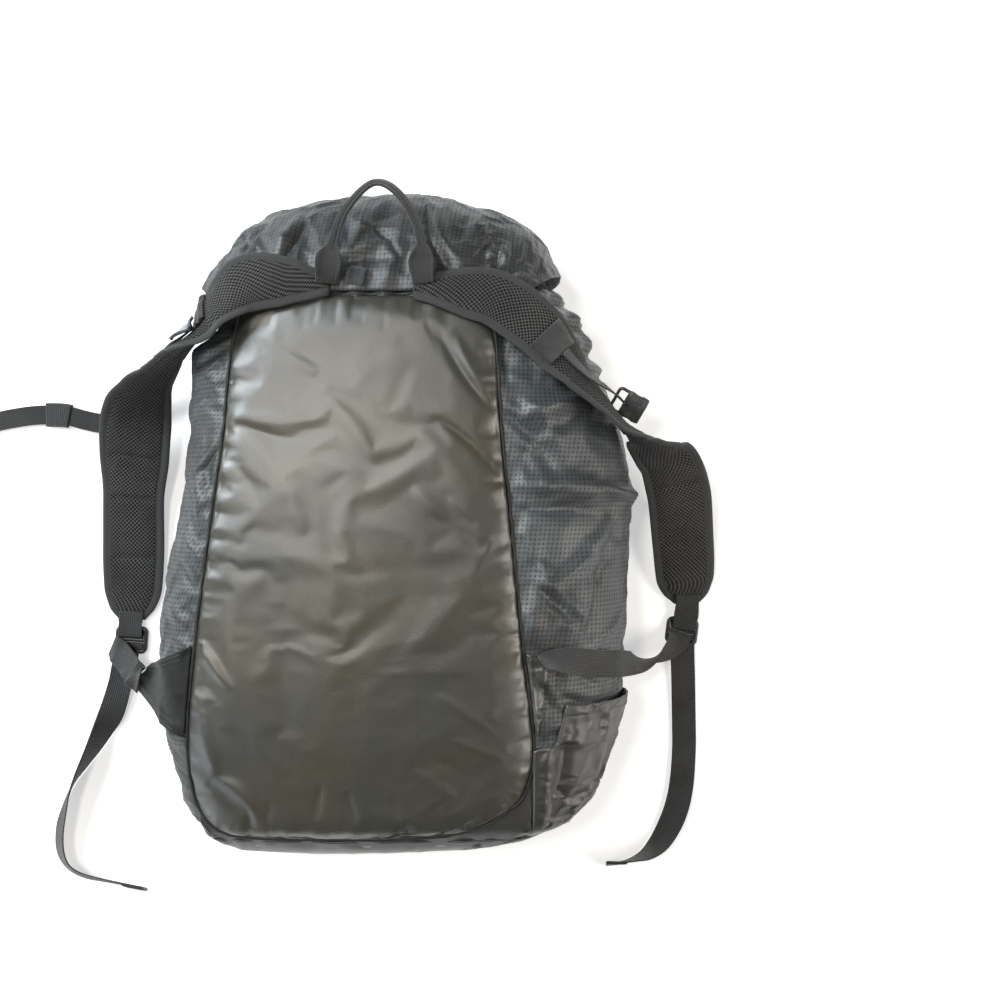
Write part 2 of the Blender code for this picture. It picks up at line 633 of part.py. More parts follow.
def make_lid(ground, finish):
    """A hood that starts level at the seam, turns down at its furthest line and back to its hem."""
    share = np.linspace(0, 1, LID_STATIONS)
    knots = np.linspace(0, 1, len(LID_ROWS))
    sewn_x, drop, reach_x, reach, front_x, front = (
        through(knots, column(LID_ROWS, LID_COLUMNS, name), share) for name in LID_COLUMNS
    )
    sewn = np.stack([sewn_x * PACK_WIDTH, lid_line() + drop * PACK_LENGTH], axis=1)
    sewn_z = ground.heights(sewn) + 3 * CLEARANCE
    far = np.stack([reach_x * PACK_WIDTH, lid_line() + reach * LID_REACH], axis=1)
    hem = np.stack([front_x * PACK_WIDTH, lid_line() + front * LID_REACH], axis=1)
    over, under = np.linspace(0, math.pi / 2, 8), np.linspace(0, math.pi / 2, 5)[1:]
    side, low = LID_SIDE * PACK_DEPTH, LID_HEM * PACK_DEPTH
    creases = sum(
        depth * PACK_DEPTH * np.exp(-(((share - place) / LID_CREASE_WIDTH) ** 2)) for place, depth in LID_CREASES
    )
    grid = []
    for a in over:
        plan = sewn + (far - sewn) * math.sin(a)
        z = side + (sewn_z - side) * math.cos(a) - creases * math.sin(2 * a)
        grid.append(np.column_stack([plan, z]))
    for a in under:
        plan = hem + (far - hem) * math.cos(a)
        z = low + (side - low) * (1 - math.sin(a))
        grid.append(np.column_stack([plan, np.full(len(share), z)]))
    grid = np.array(grid)
    faces = grid_faces(len(grid), len(share), False)
    lid = add_object("top_lid", grid.reshape(-1, 3).tolist(), faces, finish)
    return solidify(lid, CLOTH_WALL, True)


# The pocket

def make_pocket(finish):
    """Smooth cloth over the right side, that stands off the body at its hem."""
    bottom, hem = POCKET["bottom"] * PACK_LENGTH, POCKET["hem"] * PACK_LENGTH
    side = slice(TOP_POINTS - 1, TOP_POINTS + SIDE_HIGH + SIDE_LOW // 2)
    puff = np.sin(np.linspace(0, math.pi, 13))
    rings = []
    for place in [bottom, *(y for y in body_stations() if bottom < y < hem), hem]:
        share = (place - bottom) / (hem - bottom)
        inner = POCKET["inner_bottom"] + (POCKET["inner_hem"] - POCKET["inner_bottom"]) * share
        close, proud = body_ring(place, 5 * CLEARANCE)[side], body_ring(place, 5 * CLEARANCE + POCKET_BULGE)[side]
        reach = np.concatenate([[0], np.cumsum(np.linalg.norm(np.diff(close, axis=0), axis=1))])
        start = np.interp(inner * PACK_WIDTH, close[:SIDE_HIGH, 0], reach[:SIDE_HIGH])
        at = np.linspace(start, reach[-1], len(puff))
        away = (puff * share**2)[:, None]
        rings.append(
            np.stack([np.interp(at, reach, close[:, k]) for k in range(3)], axis=1) * (1 - away)
            + np.stack([np.interp(at, reach, proud[:, k]) for k in range(3)], axis=1) * away
        )
    grid = np.array(rings)
    pocket = add_object(
        "side_pocket_right", grid.reshape(-1, 3).tolist(), grid_faces(*grid.shape[:2], False), finish
    )
    return solidify(pocket, CLOTH_WALL, True)


# Straps and webbing

PAD_PROFILE = (
    (-0.50, 0.0), (-0.465, 0.34), (-0.36, 0.5), (0.36, 0.5), (0.465, 0.34),
    (0.50, 0.0), (0.465, -0.34), (0.36, -0.5), (-0.36, -0.5), (-0.465, -0.34),
)
TOUCH_PROFILE = (
    (-0.5, 0.0), (-0.43, -0.42), (-0.36, -0.5), (-0.2, -0.5), (0.0, -0.5), (0.2, -0.5), (0.36, -0.5),
    (0.43, -0.42), (0.5, 0.0), (0.43, 0.42), (0.36, 0.5), (0.0, 0.5), (-0.36, 0.5), (-0.43, 0.42),
)  # where a band is tested against what lies under it
BAND_PROFILE = ((-0.5, 0.5), (0.5, 0.5), (0.5, -0.5), (-0.5, -0.5))


class Ribbon:
    """A flat band along a plan route, laid on the pieces under it, which may turn over on its way.

    Side is 1 where the band's second edge lies left of its direction and -1 where it lies right.
    """

    def __init__(self, ground, plan, side, width, thickness, roll, lift, settle=6):
        ahead = unit(np.gradient(plan, axis=0))
        across = side * np.stack([-ahead[:, 1], ahead[:, 0]], axis=1)
        roll = np.radians(roll)
        offsets = np.linspace(-0.5, 0.5, 9)
        reach = offsets[None, :] * (width * np.cos(roll))[:, None]
        tops = ground.heights(plan[:, None] + across[:, None] * reach[..., None])
        lean = np.array([np.polyfit(r, t, 1)[0] if np.ptp(r) > 0.004 else 0.0 for r, t in zip(reach, tops)])
        lean = np.clip(lean, -1.0, 1.0) * np.cos(roll) ** 2
        lean = np.convolve(np.pad(lean, 2, "edge"), np.ones(5) / 5, "valid")
        turn = roll + np.arctan(lean) * np.sign(np.cos(roll))
        self.width, self.thickness = width, thickness
        flat = np.column_stack([across, np.zeros(len(plan))])
        self.tilt = flat * np.cos(turn)[:, None] + np.array([0, 0, 1]) * np.sin(turn)[:, None]
        self.side = side
        rise = offsets[None, :] * (width * np.sin(turn))[:, None]
        need = (tops - rise).max(axis=1) + thickness / 2 + 2 * CLEARANCE + lift
        for _ in range(SETTLE_ROUNDS):
            z = need
            for _ in range(settle):
                z = np.concatenate([z[:1], np.maximum(need[1:-1], (z[:-2] + z[2:]) / 2), z[-1:]])
            self.place(np.column_stack([plan, z]))
            points = self.rings(TOUCH_PROFILE)
            midway = (points[1:] + points[:-1]) / 2
            short, between = (
                (ground.heights(group) + 2 * CLEARANCE - group[..., 2]).max(axis=1) for group in (points, midway)
            )
            short[1:] = np.maximum(short[1:], between)
            short[:-1] = np.maximum(short[:-1], between)
            need = np.maximum(need, z + np.clip(short, 0, None))

    def place(self, centre):
        self.centre = centre
        forward = unit(np.gradient(centre, axis=0))
        lengthwise = (self.tilt * forward).sum(axis=1, keepdims=True)
        self.wide = unit(self.tilt - forward * lengthwise)
        self.forward = forward
        self.out = self.side * np.cross(forward, self.wide)

    def rings(self, profile):
        shape = np.array(profile)
        return (
            self.centre[:, None]
            + self.wide[:, None] * (self.width[:, None] * shape[:, 0])[..., None]
            + self.out[:, None] * (self.thickness[:, None] * shape[:, 1])[..., None]
        )


def closed_loft(name, rings, side, finish):
    """A capped loft whose ring order is turned so that its faces point outwards."""
    return loft(name, rings[:, ::-1] if side > 0 else rings, finish)


def lay_ribbon(name, ground, rows, columns, side, width, thickness, profile, count, finish,
               lift_scale=PACK_DEPTH, settle=6):
    """Makes the Ribbon of a table and its solid, and adds it to the ground."""
    points = np.stack([column(rows, columns, "x") * PACK_WIDTH, column(rows, columns, "y") * PACK_LENGTH], 1)
    plan = smooth_path(points, count)
    share = np.linspace(0, 1, count)
    read = {name: along(rows, columns, [name], share)[0] for name in columns[2:]}
    wide = read.get("width", 1.0) * np.full(count, width)
    thick = read.get("thickness", 1.0) * np.full(count, thickness)
    roll = read.get("roll", np.zeros(count))
    ribbon = Ribbon(ground, plan, side, wide, thick, roll, read["lift"] * lift_scale, settle)
    solid = closed_loft(name, ribbon.rings(profile), side, finish)
    ground.add(solid)
    return ribbon


def make_strap(side_name, ground, rows, side, finish):
    return lay_ribbon(
        f"strap_{side_name}", ground, rows, STRAP_COLUMNS, side, PAD_WIDTH, PAD_THICKNESS,
        PAD_PROFILE, STRAP_STATIONS, finish,
    )


def make_webbing(name, ground, rows, side, width, count, finish):
    return lay_ribbon(
        name, ground, rows, WEBBING_COLUMNS, side, width, WEBBING_THICKNESS, BAND_PROFILE, count, finish
    )


def on_strap(name, ribbon, stations, across, proud, thickness, finish):
    """A band of webbing or plastic on a strap's outer face, between two of its stations.

    Across holds the shares of the strap's width it spans and proud its height off the face there.
    """
    across = np.asarray(across)
    round_edge = np.interp(np.abs(across), (0.36, 0.465, 0.5), (0.5, 0.34, 0.08))
    picked = slice(stations[0], stations[1] + 1)
    face = ribbon.thickness[picked, None] * round_edge + 2 * CLEARANCE + proud
    low = ribbon.centre[picked, None] + ribbon.wide[picked, None] * (ribbon.width[picked, None] * across)[..., None]
    high = low + ribbon.out[picked, None] * (face + thickness)[..., None]
    low = low + ribbon.out[picked, None] * face[..., None]
    if ribbon.side > 0:
        low, high = low[:, ::-1], high[:, ::-1]
    return sheet_between(name, low, high, finish)


def make_rail(side_name, ribbon, finish):
    """Narrow webbing sewn on after the band, bowed off the strap."""
    first, rows = RAIL[side_name]
    across, proud = (column(rows, RAIL_COLUMNS, name)[:, None] for name in RAIL_COLUMNS)
    half = RAIL_WEBBING / 2 / PAD_WIDTH
    stations = (first, first + len(rows) - 1)
    return on_strap(
        f"strap_rail_{side_name}", ribbon, stations, across + (-half, 0, half), proud * RAIL_RISE,
        WEBBING_THICKNESS, finish,
    )


def make_slider(ribbon, finish):
    """The chest strap's slider over the left rail, a bowed plastic plate."""
    across = SLIDER_ACROSS + np.linspace(-0.5, 0.5, 5) * SLIDER_WIDTH / PAD_WIDTH
    bow = np.sin(np.linspace(0, math.pi, SLIDER[1] - SLIDER[0] + 1))[:, None]
    rail = column(RAIL["left"][1], RAIL_COLUMNS, "proud").max() * RAIL_RISE + WEBBING_THICKNESS
    proud = rail + SLIDER_GAP + SLIDER_BOW * bow
    return on_strap("sternum_slider_left", ribbon, SLIDER, across, proud, SLIDER_THICKNESS, finish)


# Plastic pieces

def block(name, size, matrix, collection, finish=None):
    """A box of the given size, with its mesh placed by the matrix."""
    corners = [Vector((x, y, z)) for z in (-0.5, 0.5) for y in (-0.5, 0.5) for x in (-0.5, 0.5)]
    points = [tuple(matrix @ Vector(c[k] * size[k] for k in range(3))) for c in corners]
    faces = [(0, 2, 3, 1), (4, 5, 7, 6), (0, 1, 5, 4), (2, 6, 7, 3), (0, 4, 6, 2), (1, 3, 7, 5)]
    return add_object(name, points, faces, finish, collection)


def plate(name, size, corner, slots, matrix, finish):
    """A rounded plate, long along its own Y, with slots right through it."""
    obj = block(name, size, matrix, parts, finish)
    rounded = obj.modifiers.new("round", "BEVEL")
    rounded.width = corner
    rounded.segments = 2
    for index, (centre, slot_length, slot_width) in enumerate(slots):
        place = matrix @ Matrix.Translation((0, centre, 0))
        cutter = block(f"{name}_slot_{index}", (slot_width, slot_length, 3 * size[2]), place, cutters)
        cutter.hide_render = True
        cutter.display_type = "WIRE"
        difference = obj.modifiers.new("slot", "BOOLEAN")
        difference.operation = "DIFFERENCE"
        difference.solver = "EXACT"
        difference.object = cutter
    return obj


def make_lock(name, ground, place, finish):
    """A ladder lock flat on the floor, with a slot each side of its middle bar."""
    x, y, turn = place
    slot = (LOCK_LENGTH - 3 * LOCK_BAR) / 2
    matrix = Matrix.Translation((x * PACK_WIDTH, y * PACK_LENGTH, LOCK_THICKNESS / 2 + CLEARANCE))
    matrix = matrix @ Matrix.Rotation(math.radians(turn), 4, "Z")
    slots = [(sign * (slot + LOCK_BAR) / 2, slot, LOCK_WIDTH - 2 * LOCK_BAR) for sign in (1, -1)]
    size = (LOCK_WIDTH, LOCK_LENGTH, LOCK_THICKNESS)
    ground.add(plate(name, size, LOCK_THICKNESS * 0.35, slots, matrix, finish))


def make_buckle(finish):
    """The chest strap's socket beside the right strap: a flat housing with a slot for the rail."""
    x, y, turn, height = BUCKLE
    matrix = Matrix.Translation((x * PACK_WIDTH, y * PACK_LENGTH, height * PACK_DEPTH))
    matrix = matrix @ Matrix.Rotation(math.radians(turn - 90), 4, "Z")
    matrix = matrix @ Matrix.Rotation(math.radians(BUCKLE_TILT), 4, "Y")
    slots = [(-BUCKLE_LENGTH / 2 + BUCKLE_WALL + BUCKLE_SLOT / 2, BUCKLE_SLOT, WEBBING_NARROW)]
    size = (WEBBING_NARROW + 2 * BUCKLE_WALL, BUCKLE_LENGTH, BUCKLE_THICKNESS)
    return plate("sternum_buckle_right", size, BUCKLE_THICKNESS * 0.25, slots, matrix, finish)


# Wings, handle and tab

def make_wing(name, ground, wing, side, finish):
    """A cloth triangle from the panel's seam to the lower webbing, draped on the bag's side."""
    seam_y = np.array(wing["seam"]) * PACK_LENGTH
    left, right = panel_outline(seam_y)
    beside = 2 * PIPING_RADIUS + 3 * CLEARANCE
    seam = np.stack([(left - beside) if side < 0 else (right + beside), seam_y], axis=1)
    tip = np.array(wing["tip"]) * (PACK_WIDTH, PACK_LENGTH)
    out, down = np.linspace(0, 1, 7)[:, None, None], np.linspace(0, 1, 6)[None, :, None]
    plan = (seam[0] * (1 - down) + seam[1] * down) * (1 - out) + (tip[0] * (1 - down) + tip[1] * down) * out
    tops = ground.heights(plan, 0.0015) + 4 * CLEARANCE
    ramp = tops[:1] + (wing["height"] * PACK_DEPTH - tops[:1]) * out[..., 0]
    low = np.maximum(tops, ramp)
    for _ in range(3):
        middle = (low[:-2] + low[2:]) / 2
        low[1:-1] = np.maximum(low[1:-1], middle)
    grid = np.dstack([plan, low])
    if side < 0:
        grid = grid[:, ::-1]
    high = grid + (0, 0, CLOTH_WALL)
    obj = sheet_between(name, grid, high, finish)
    ground.add(obj)
    return obj


def make_handle(ground, finish):
    return lay_ribbon(
        "grab_handle", ground, HANDLE_ROWS, HANDLE_COLUMNS, -1, WEBBING_NARROW, WEBBING_THICKNESS,
        BAND_PROFILE, 37, finish, HANDLE_LIFT, 20,
    )


def make_tab(ground, finish):
    """A small folded tab sewn in beside the handle, lying on the lid."""
    x, y = TAB_PLACE[0] * PACK_WIDTH, TAB_PLACE[1] * PACK_LENGTH
    turn = math.radians(TAB_TURN)
    ahead = np.array([math.sin(turn), math.cos(turn)])
    plan = np.array([x, y]) + np.linspace(-0.5, 0.5, 5)[:, None] * TAB_LENGTH * ahead
    flat = np.full(5, 0.0)
    ribbon = Ribbon(ground, plan, 1, flat + TAB_WIDTH, flat + TAB_THICKNESS, flat, flat)
    return closed_loft("hang_tab", ribbon.rings(BAND_PROFILE), 1, finish)


def make_sternum(finish, elastic, plastic):
    """The chest strap's loose half, down from its slider and out over the floor to a plain clip."""
    ground = Ground()
    ribbon = make_webbing("sternum_webbing", ground, STERNUM, 1, WEBBING_NARROW, STERNUM_STATIONS, finish)
    edge = ribbon.width[0] / 2 + 5 * CLEARANCE
    half = ribbon.thickness[0] / 2 + 2 * CLEARANCE
    inner = np.array([(-edge, -half), (-edge, half), (edge, half), (edge, -half)])
    outer = inner + np.sign(inner) * ELASTIC_THICKNESS
    loops = []
    for shape, k in ((outer, 0), (outer, 1), (inner, 1), (inner, 0)):
        k = STERNUM_KEEPER[k]
        loops.append(
            ribbon.centre[k] + np.outer(shape[:, 0], ribbon.wide[k]) + np.outer(shape[:, 1], ribbon.out[k])
        )
    quads = np.array(grid_faces(5, 4, True))[:, ::-1] % 16
    add_object("sternum_keeper", np.concatenate(loops).tolist(), quads.tolist(), elastic)

    ahead = unit(ribbon.forward[-1] * (1, 1, 0))
    centre = ribbon.centre[-1] + ahead * (STERNUM_CLIP_LENGTH / 2 + 2 * CLEARANCE)
    matrix = Matrix.Translation((centre[0], centre[1], BUCKLE_THICKNESS / 2 + CLEARANCE))
    matrix = matrix @ Matrix.Rotation(math.atan2(-ahead[0], ahead[1]), 4, "Z")
    size = (WEBBING_NARROW + BUCKLE_WALL, STERNUM_CLIP_LENGTH, BUCKLE_THICKNESS)
    plate("sternum_clip", size, BUCKLE_THICKNESS * 0.25, (), matrix, plastic)


def build():
    start_scene()
    ripstop = material("ripstop", (0.085, 0.095, 0.095), 0.5)
    smooth_nylon = material("smooth_nylon", (0.15, 0.14, 0.115), 0.42)
    mesh_cloth = material("spacer_mesh", (0.07, 0.07, 0.07), 0.85)
    webbing = material("webbing", (0.06, 0.06, 0.06), 0.75)
    plastic = material("buckle_plastic", (0.03, 0.03, 0.032), 0.45)
    tab_cloth = material("tab_cloth", (0.10, 0.12, 0.14), 0.7)

    body = make_body(ripstop)
    bottom = make_bottom(smooth_nylon)
    ground = Ground()
    ground.add(body, bottom)
    panel = make_back_panel(ground, smooth_nylon)
    piping = make_piping(ground, smooth_nylon)
    lid = make_lid(ground, ripstop)
    ground.add(panel, piping, lid)
    ground.add(make_pocket(smooth_nylon))
    left_strap = make_strap("left", ground, STRAP_LEFT, 1, mesh_cloth)
    right_strap = make_strap("right", ground, STRAP_RIGHT, -1, mesh_cloth)
    for side_name, ribbon in (("left", left_strap), ("right", right_strap)):
        across = np.unique(np.clip([place[0] for place in PAD_PROFILE[:6]], *BAND_ACROSS[side_name]))
        on_strap(f"strap_keeper_{side_name}", ribbon, BAND[side_name], across, 0.0, WEBBING_THICKNESS, webbing)
        make_rail(side_name, ribbon, webbing)
    make_slider(left_strap, plastic)
    make_buckle(plastic)
    make_sternum(webbing, webbing, plastic)
    make_lock("ladder_lock_left", ground, LOCK_LEFT, plastic)
    make_lock("ladder_lock_right", ground, LOCK_RIGHT, plastic)
    make_webbing("pad_webbing_left", ground, PAD_WEBBING_LEFT, 1, WEBBING_WIDE, 7, webbing)
    make_webbing("pad_webbing_right", ground, PAD_WEBBING_RIGHT, -1, WEBBING_WIDE, 7, webbing)
    make_webbing("webbing_tail_left", ground, TAIL_LEFT, -1, WEBBING_WIDE, 32, webbing)
    make_webbing("webbing_tail_right", ground, TAIL_RIGHT, 1, WEBBING_WIDE, 28, webbing)
    make_wing("wing_left", ground, WING_LEFT, -1, smooth_nylon)
    make_wing("wing_right", ground, WING_RIGHT, 1, smooth_nylon)
    make_webbing("lower_webbing_left", ground, LOWER_LEFT, -1, WEBBING_WIDE, 9, webbing)
    make_webbing("lower_webbing_right", ground, LOWER_RIGHT, -1, WEBBING_WIDE, 24, webbing)
    make_handle(ground, webbing)
    make_tab(ground, tab_cloth)


build()
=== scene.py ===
"""A lightweight backpack that lies on its front, in its cloth, mesh, webbing and plastic.

Metres, +Z up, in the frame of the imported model. +Y points to the top of the bag, +X to the right.
"""

import math

import bpy
import numpy as np
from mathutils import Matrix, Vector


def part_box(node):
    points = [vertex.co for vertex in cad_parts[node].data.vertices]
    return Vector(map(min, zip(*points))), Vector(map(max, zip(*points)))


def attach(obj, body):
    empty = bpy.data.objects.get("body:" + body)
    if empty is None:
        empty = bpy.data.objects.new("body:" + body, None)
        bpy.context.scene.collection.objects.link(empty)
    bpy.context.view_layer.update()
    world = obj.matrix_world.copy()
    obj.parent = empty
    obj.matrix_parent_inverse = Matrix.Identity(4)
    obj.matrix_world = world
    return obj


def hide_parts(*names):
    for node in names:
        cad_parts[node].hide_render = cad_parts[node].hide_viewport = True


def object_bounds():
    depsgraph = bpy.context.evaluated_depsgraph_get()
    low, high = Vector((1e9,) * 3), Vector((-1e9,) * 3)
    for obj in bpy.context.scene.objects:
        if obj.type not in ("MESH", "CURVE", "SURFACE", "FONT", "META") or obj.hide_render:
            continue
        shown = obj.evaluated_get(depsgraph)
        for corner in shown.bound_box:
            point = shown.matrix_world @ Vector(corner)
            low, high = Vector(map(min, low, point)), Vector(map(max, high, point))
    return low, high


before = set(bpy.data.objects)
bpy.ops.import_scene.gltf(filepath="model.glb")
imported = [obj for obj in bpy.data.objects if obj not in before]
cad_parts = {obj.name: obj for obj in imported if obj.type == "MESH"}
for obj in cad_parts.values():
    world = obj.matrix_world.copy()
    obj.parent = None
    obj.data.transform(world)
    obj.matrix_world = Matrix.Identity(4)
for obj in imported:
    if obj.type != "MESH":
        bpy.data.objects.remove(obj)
cad_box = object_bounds()


# The studio: a pale floor and soft light from a large cool window at the upper left, a warm one at
# the right and an even pale sky. The camera looks straight down on the bag.

CAMERA_HEIGHT = 0.98
CAMERA_PLACE = (0.109, 0.021, CAMERA_HEIGHT)
FIELD_WIDTH = 1.05  # what the camera sees across on the floor
SENSOR_WIDTH = 36
FLOOR_HALF = 3.0
FLOOR_DROP = 0.0004  # keeps the floor's face clear of the cloth that rests on it
FLOOR_COLOUR = (0.93, 0.93, 0.93)
FLOOR_GLOW = 0.50
SKY_STRENGTH = 0.05
WHITE = (1.0, 1.0, 1.0, 1.0)
LIGHTS = (  # name, place, target, size, watts, colour
    ("left_window", (-1.45, 1.05, 1.45), (-0.03, 0.0, 0.08), (1.0, 0.7), 49, (0.88, 0.95, 1.0)),
    ("high_panel", (-0.48, 0.34, 1.82), (-0.05, 0.05, 0.14), (0.42, 0.34), 12, (1.0, 0.96, 0.89)),
    ("right_fill", (1.65, -0.30, 1.15), (0.0, 0.0, 0.1), (1.1, 0.6), 19, (1.0, 0.95, 0.88)),
    ("low_left", (-1.30, -1.00, 0.55), (-0.15, -0.2, 0.1), (0.8, 0.3), 5, (0.85, 0.94, 1.0)),
)


def added(name, data):
    """A new object with this data, linked to the scene."""
    obj = bpy.data.objects.new(name, data)
    bpy.context.scene.collection.objects.link(obj)
    return obj


def new_material(name, colour, roughness, **settings):
    """A Principled material, its node tree and its shader's inputs. Each setting is named as an input
    of the shader, with underscores for spaces."""
    made = bpy.data.materials.new(name)
    made.use_nodes = True
    inputs = made.node_tree.nodes["Principled BSDF"].inputs
    for socket, value in {"Base_Color": (*colour[:3], 1.0), "Roughness": roughness, **settings}.items():
        inputs[socket.replace("_", " ")].default_value = value
    return made, made.node_tree, inputs


def mesh_object(name, points, faces, finish):
    """A smooth object of these points and faces."""
    mesh = bpy.data.meshes.new(name)
    mesh.from_pydata(np.reshape(points, (-1, 3)).tolist(), [], faces)
    mesh.materials.append(finish)
    mesh.shade_smooth()
    return added(name, mesh)


floor_finish = new_material(
    "pale_floor", FLOOR_COLOUR, 0.9, Emission_Color=WHITE, Emission_Strength=FLOOR_GLOW
)[0]
floor_corners = np.array([(-1, -1, 0), (1, -1, 0), (1, 1, 0), (-1, 1, 0)]) * FLOOR_HALF
floor = mesh_object("floor", floor_corners, [(0, 1, 2, 3)], floor_finish)
floor.location.z = -FLOOR_DROP

for name, place, target, size, power, colour in LIGHTS:
    light = bpy.data.lights.new(name, "AREA")
    light.shape = "RECTANGLE"
    light.size, light.size_y = size
    light.energy = power
    light.color = colour
    lamp = added(name, light)
    away = np.array(place) - np.array(target)
    lamp.location = place
    lean = math.atan2(math.hypot(away[0], away[1]), away[2])
    lamp.rotation_euler = (lean, 0, math.atan2(away[0], -away[1]))
world = bpy.data.worlds.new("pale_sky")
world.use_nodes = True
world.node_tree.nodes["Background"].inputs["Color"].default_value = WHITE
world.node_tree.nodes["Background"].inputs["Strength"].default_value = SKY_STRENGTH
bpy.context.scene.world = world
bpy.context.scene.view_settings.view_transform = "Standard"

camera_data = bpy.data.cameras.new("camera")
camera_data.sensor_width = SENSOR_WIDTH
camera_data.lens = SENSOR_WIDTH * CAMERA_HEIGHT / FIELD_WIDTH
camera = added("camera", camera_data)
camera.location = CAMERA_PLACE
bpy.context.scene.camera = camera


# The bag's body: thin ripstop nylon, sewn to one tube from the back panel's seams round the sides
# and the front, flattened where it rests and gathered by a cord at its mouth under the lid.

PACK_LENGTH = 0.584
PACK_WIDTH = 0.464
PACK_DEPTH = 0.140
THIN_CLOTH = 0.0008
CLEARANCE = 0.0003

# Sections from the bottom end to the mouth: y in shares of PACK_LENGTH, the edges and seams in
# shares of PACK_WIDTH and the heights in shares of PACK_DEPTH.
BODY_COLUMNS = ("y", "left_edge", "left_seam", "right_seam", "right_edge", "top", "side", "base")
BODY_ROWS = (
    (-0.554, -0.240, -0.216, -0.010, 0.040, 0.443, 0.357, 0.286),
    (-0.545, -0.292, -0.262, 0.060, 0.110, 0.560, 0.357, 0.170),
    (-0.532, -0.334, -0.285, 0.160, 0.228, 0.670, 0.357, 0.090),
    (-0.515, -0.360, -0.318, 0.240, 0.325, 0.743, 0.357, 0.045),
    (-0.479, -0.394, -0.350, 0.280, 0.402, 0.843, 0.357, 0.000),
    (-0.411, -0.435, -0.375, 0.297, 0.450, 0.871, 0.357, 0.000),
    (-0.325, -0.464, -0.379, 0.297, 0.482, 0.907, 0.357, 0.000),
    (-0.205, -0.478, -0.362, 0.278, 0.500, 0.929, 0.343, 0.000),
    (-0.068, -0.458, -0.341, 0.261, 0.506, 0.929, 0.329, 0.000),
    (0.038, -0.431, -0.323, 0.248, 0.514, 0.929, 0.321, 0.000),
    (0.137, -0.418, -0.306, 0.235, 0.491, 0.921, 0.343, 0.000),
    (0.223, -0.414, -0.293, 0.226, 0.457, 0.914, 0.357, 0.000),
    (0.274, -0.409, -0.289, 0.224, 0.433, 0.907, 0.371, 0.000),
    (0.317, -0.345, -0.280, 0.222, 0.416, 0.900, 0.386, 0.000),
    (0.363, -0.321, -0.263, 0.211, 0.371, 0.857, 0.393, 0.029),
    (0.404, -0.289, -0.233, 0.190, 0.323, 0.743, 0.400, 0.100),
    (0.449, -0.226, -0.181, 0.155, 0.254, 0.614, 0.407, 0.214),
)
CROWN = 0.043
LEFT_FOOT_INSET = 0.086
RIGHT_FOOT_INSET = 0.150
TOP_COUNT, SIDE_COUNT, FRONT_COUNT = 56, 36, 24  # points of a section over the back, a side and the front
BODY_STATIONS = 190
COLLAR_START = 0.10  # y where the gathers begin
COLLAR_GATHERS = 26
GATHER_DEPTH = 0.0030
RUFFLE_PITCH = 0.021
RUFFLE_DEPTH = 0.0034
RUFFLE_START = (0.12, 0.15)  # the y over which the ruffles grow
SIDE_FOLD_SHARE = 1.5  # how much deeper the sides' folds are than their tables say
SIDE_WRINKLE = 0.0018
SIDE_SLACK = 0.030
SIDE_BEND = 0.6  # the cloth's bending stiffness
SIDE_CAP = 0.009  # how far the settled cloth may move
SIDE_HELD = 0.012  # height below which the floor holds the cloth
MEAN_REACH = 7  # points each way over which a settled cloth's mean shift is taken off
CLOTH_FRAMES = 20

# Folds in millimetres: their ends x0, y0 and x1, y1, the sideways bow, the half width and the rise
# off the cloth, which is negative in a crease.
RIGHT_FOLDS = (
    (113, 180, 115, 126, 0, 6, -6.0),
    (122, 96, 184, 116, 0, 13, 6.0),
    (216, 100, 207, 28, 0, 14, 5.0),
    (190, -28, 166, -124, 0, 15, 5.5),
    (150, -34, 136, -116, 0, 10, 3.5),
    (109, 100, 138, 76, 4, 4, -3.2),
    (111, 106, 165, 21, 9, 5, -3.4),
    (115, 118, 153, 49, 9, 5, -3.0),
    (114, 86, 146, 2, 7, 5, -2.8),
    (128, 116, 174, 40, 7, 8, 3.0),
    (112, 70, 132, 20, 4, 4, -1.8),
    (174, 91, 204, 41, 0, 12, 3.0),
    (141, -57, 181, -99, 2, 3, -4.2),
    (146, -49, 188, -92, 2, 5, 2.2),
    (194, -46, 179, -111, 0, 4, 3.2),
    (202, -35, 188, -113, 0, 8, -3.8),
    (226, -83, 200, -109, 4, 4, 2.6),
    (126, 2, 165, -72, 0, 9, 2.4),
    (128, -72, 153, -118, 0, 9, 1.8),
    (120, 58, 128, -35, 0, 6, -1.6),
    (161, -127, 162, -157, 0, 4, -3.4),
    (147, -144, 159, -185, 2, 4, -2.8),
    (175, -135, 202, -155, 0, 8, -3.0),
    (165, -158, 218, -172, -5, 5, -3.4),
    (208, 20, 222, -20, 2, 5, -2.2),
    (118, 34, 236, 26, 4, 11, 5.5),
    (205, 31, 262, 22, 0, 7, 6.0),
    (122, 12, 206, 8, 3, 7, -3.0),
    (228, 20, 150, -62, 6, 8, 3.6),
    (214, 0, 200, -60, 3, 7, -3.2),
)
POCKET = {"bottom": -0.494, "hem": -0.286, "inner_bottom": 0.300, "inner_hem": 0.366}  # see the pocket
LEFT_FOLDS = (
    (-164, 86, -168, 2, 0, 5, 2.4),
    (-155, 77, -161, 21, 0, 4, -2.2),
    (-174, 145, -147, 158, 0, 4, -2.8),
    (-173, 132, -145, 140, 0, 6, 2.0),
    (-170, 109, -149, 117, 0, 4, -1.6),
    (-178, -11, -163, -35, 0, 5, 2.0),
    (-191, -35, -171, -62, 0, 5, -2.4),
    (-197, -72, -178, -98, 0, 7, 2.0),
    (-164, 2, -173, -35, 0, 4, -1.6),
    (-150, 86, -162, 49, 0, 3, 1.6),
    (-186, 20, -172, -20, 3, 6, -2.0),
)


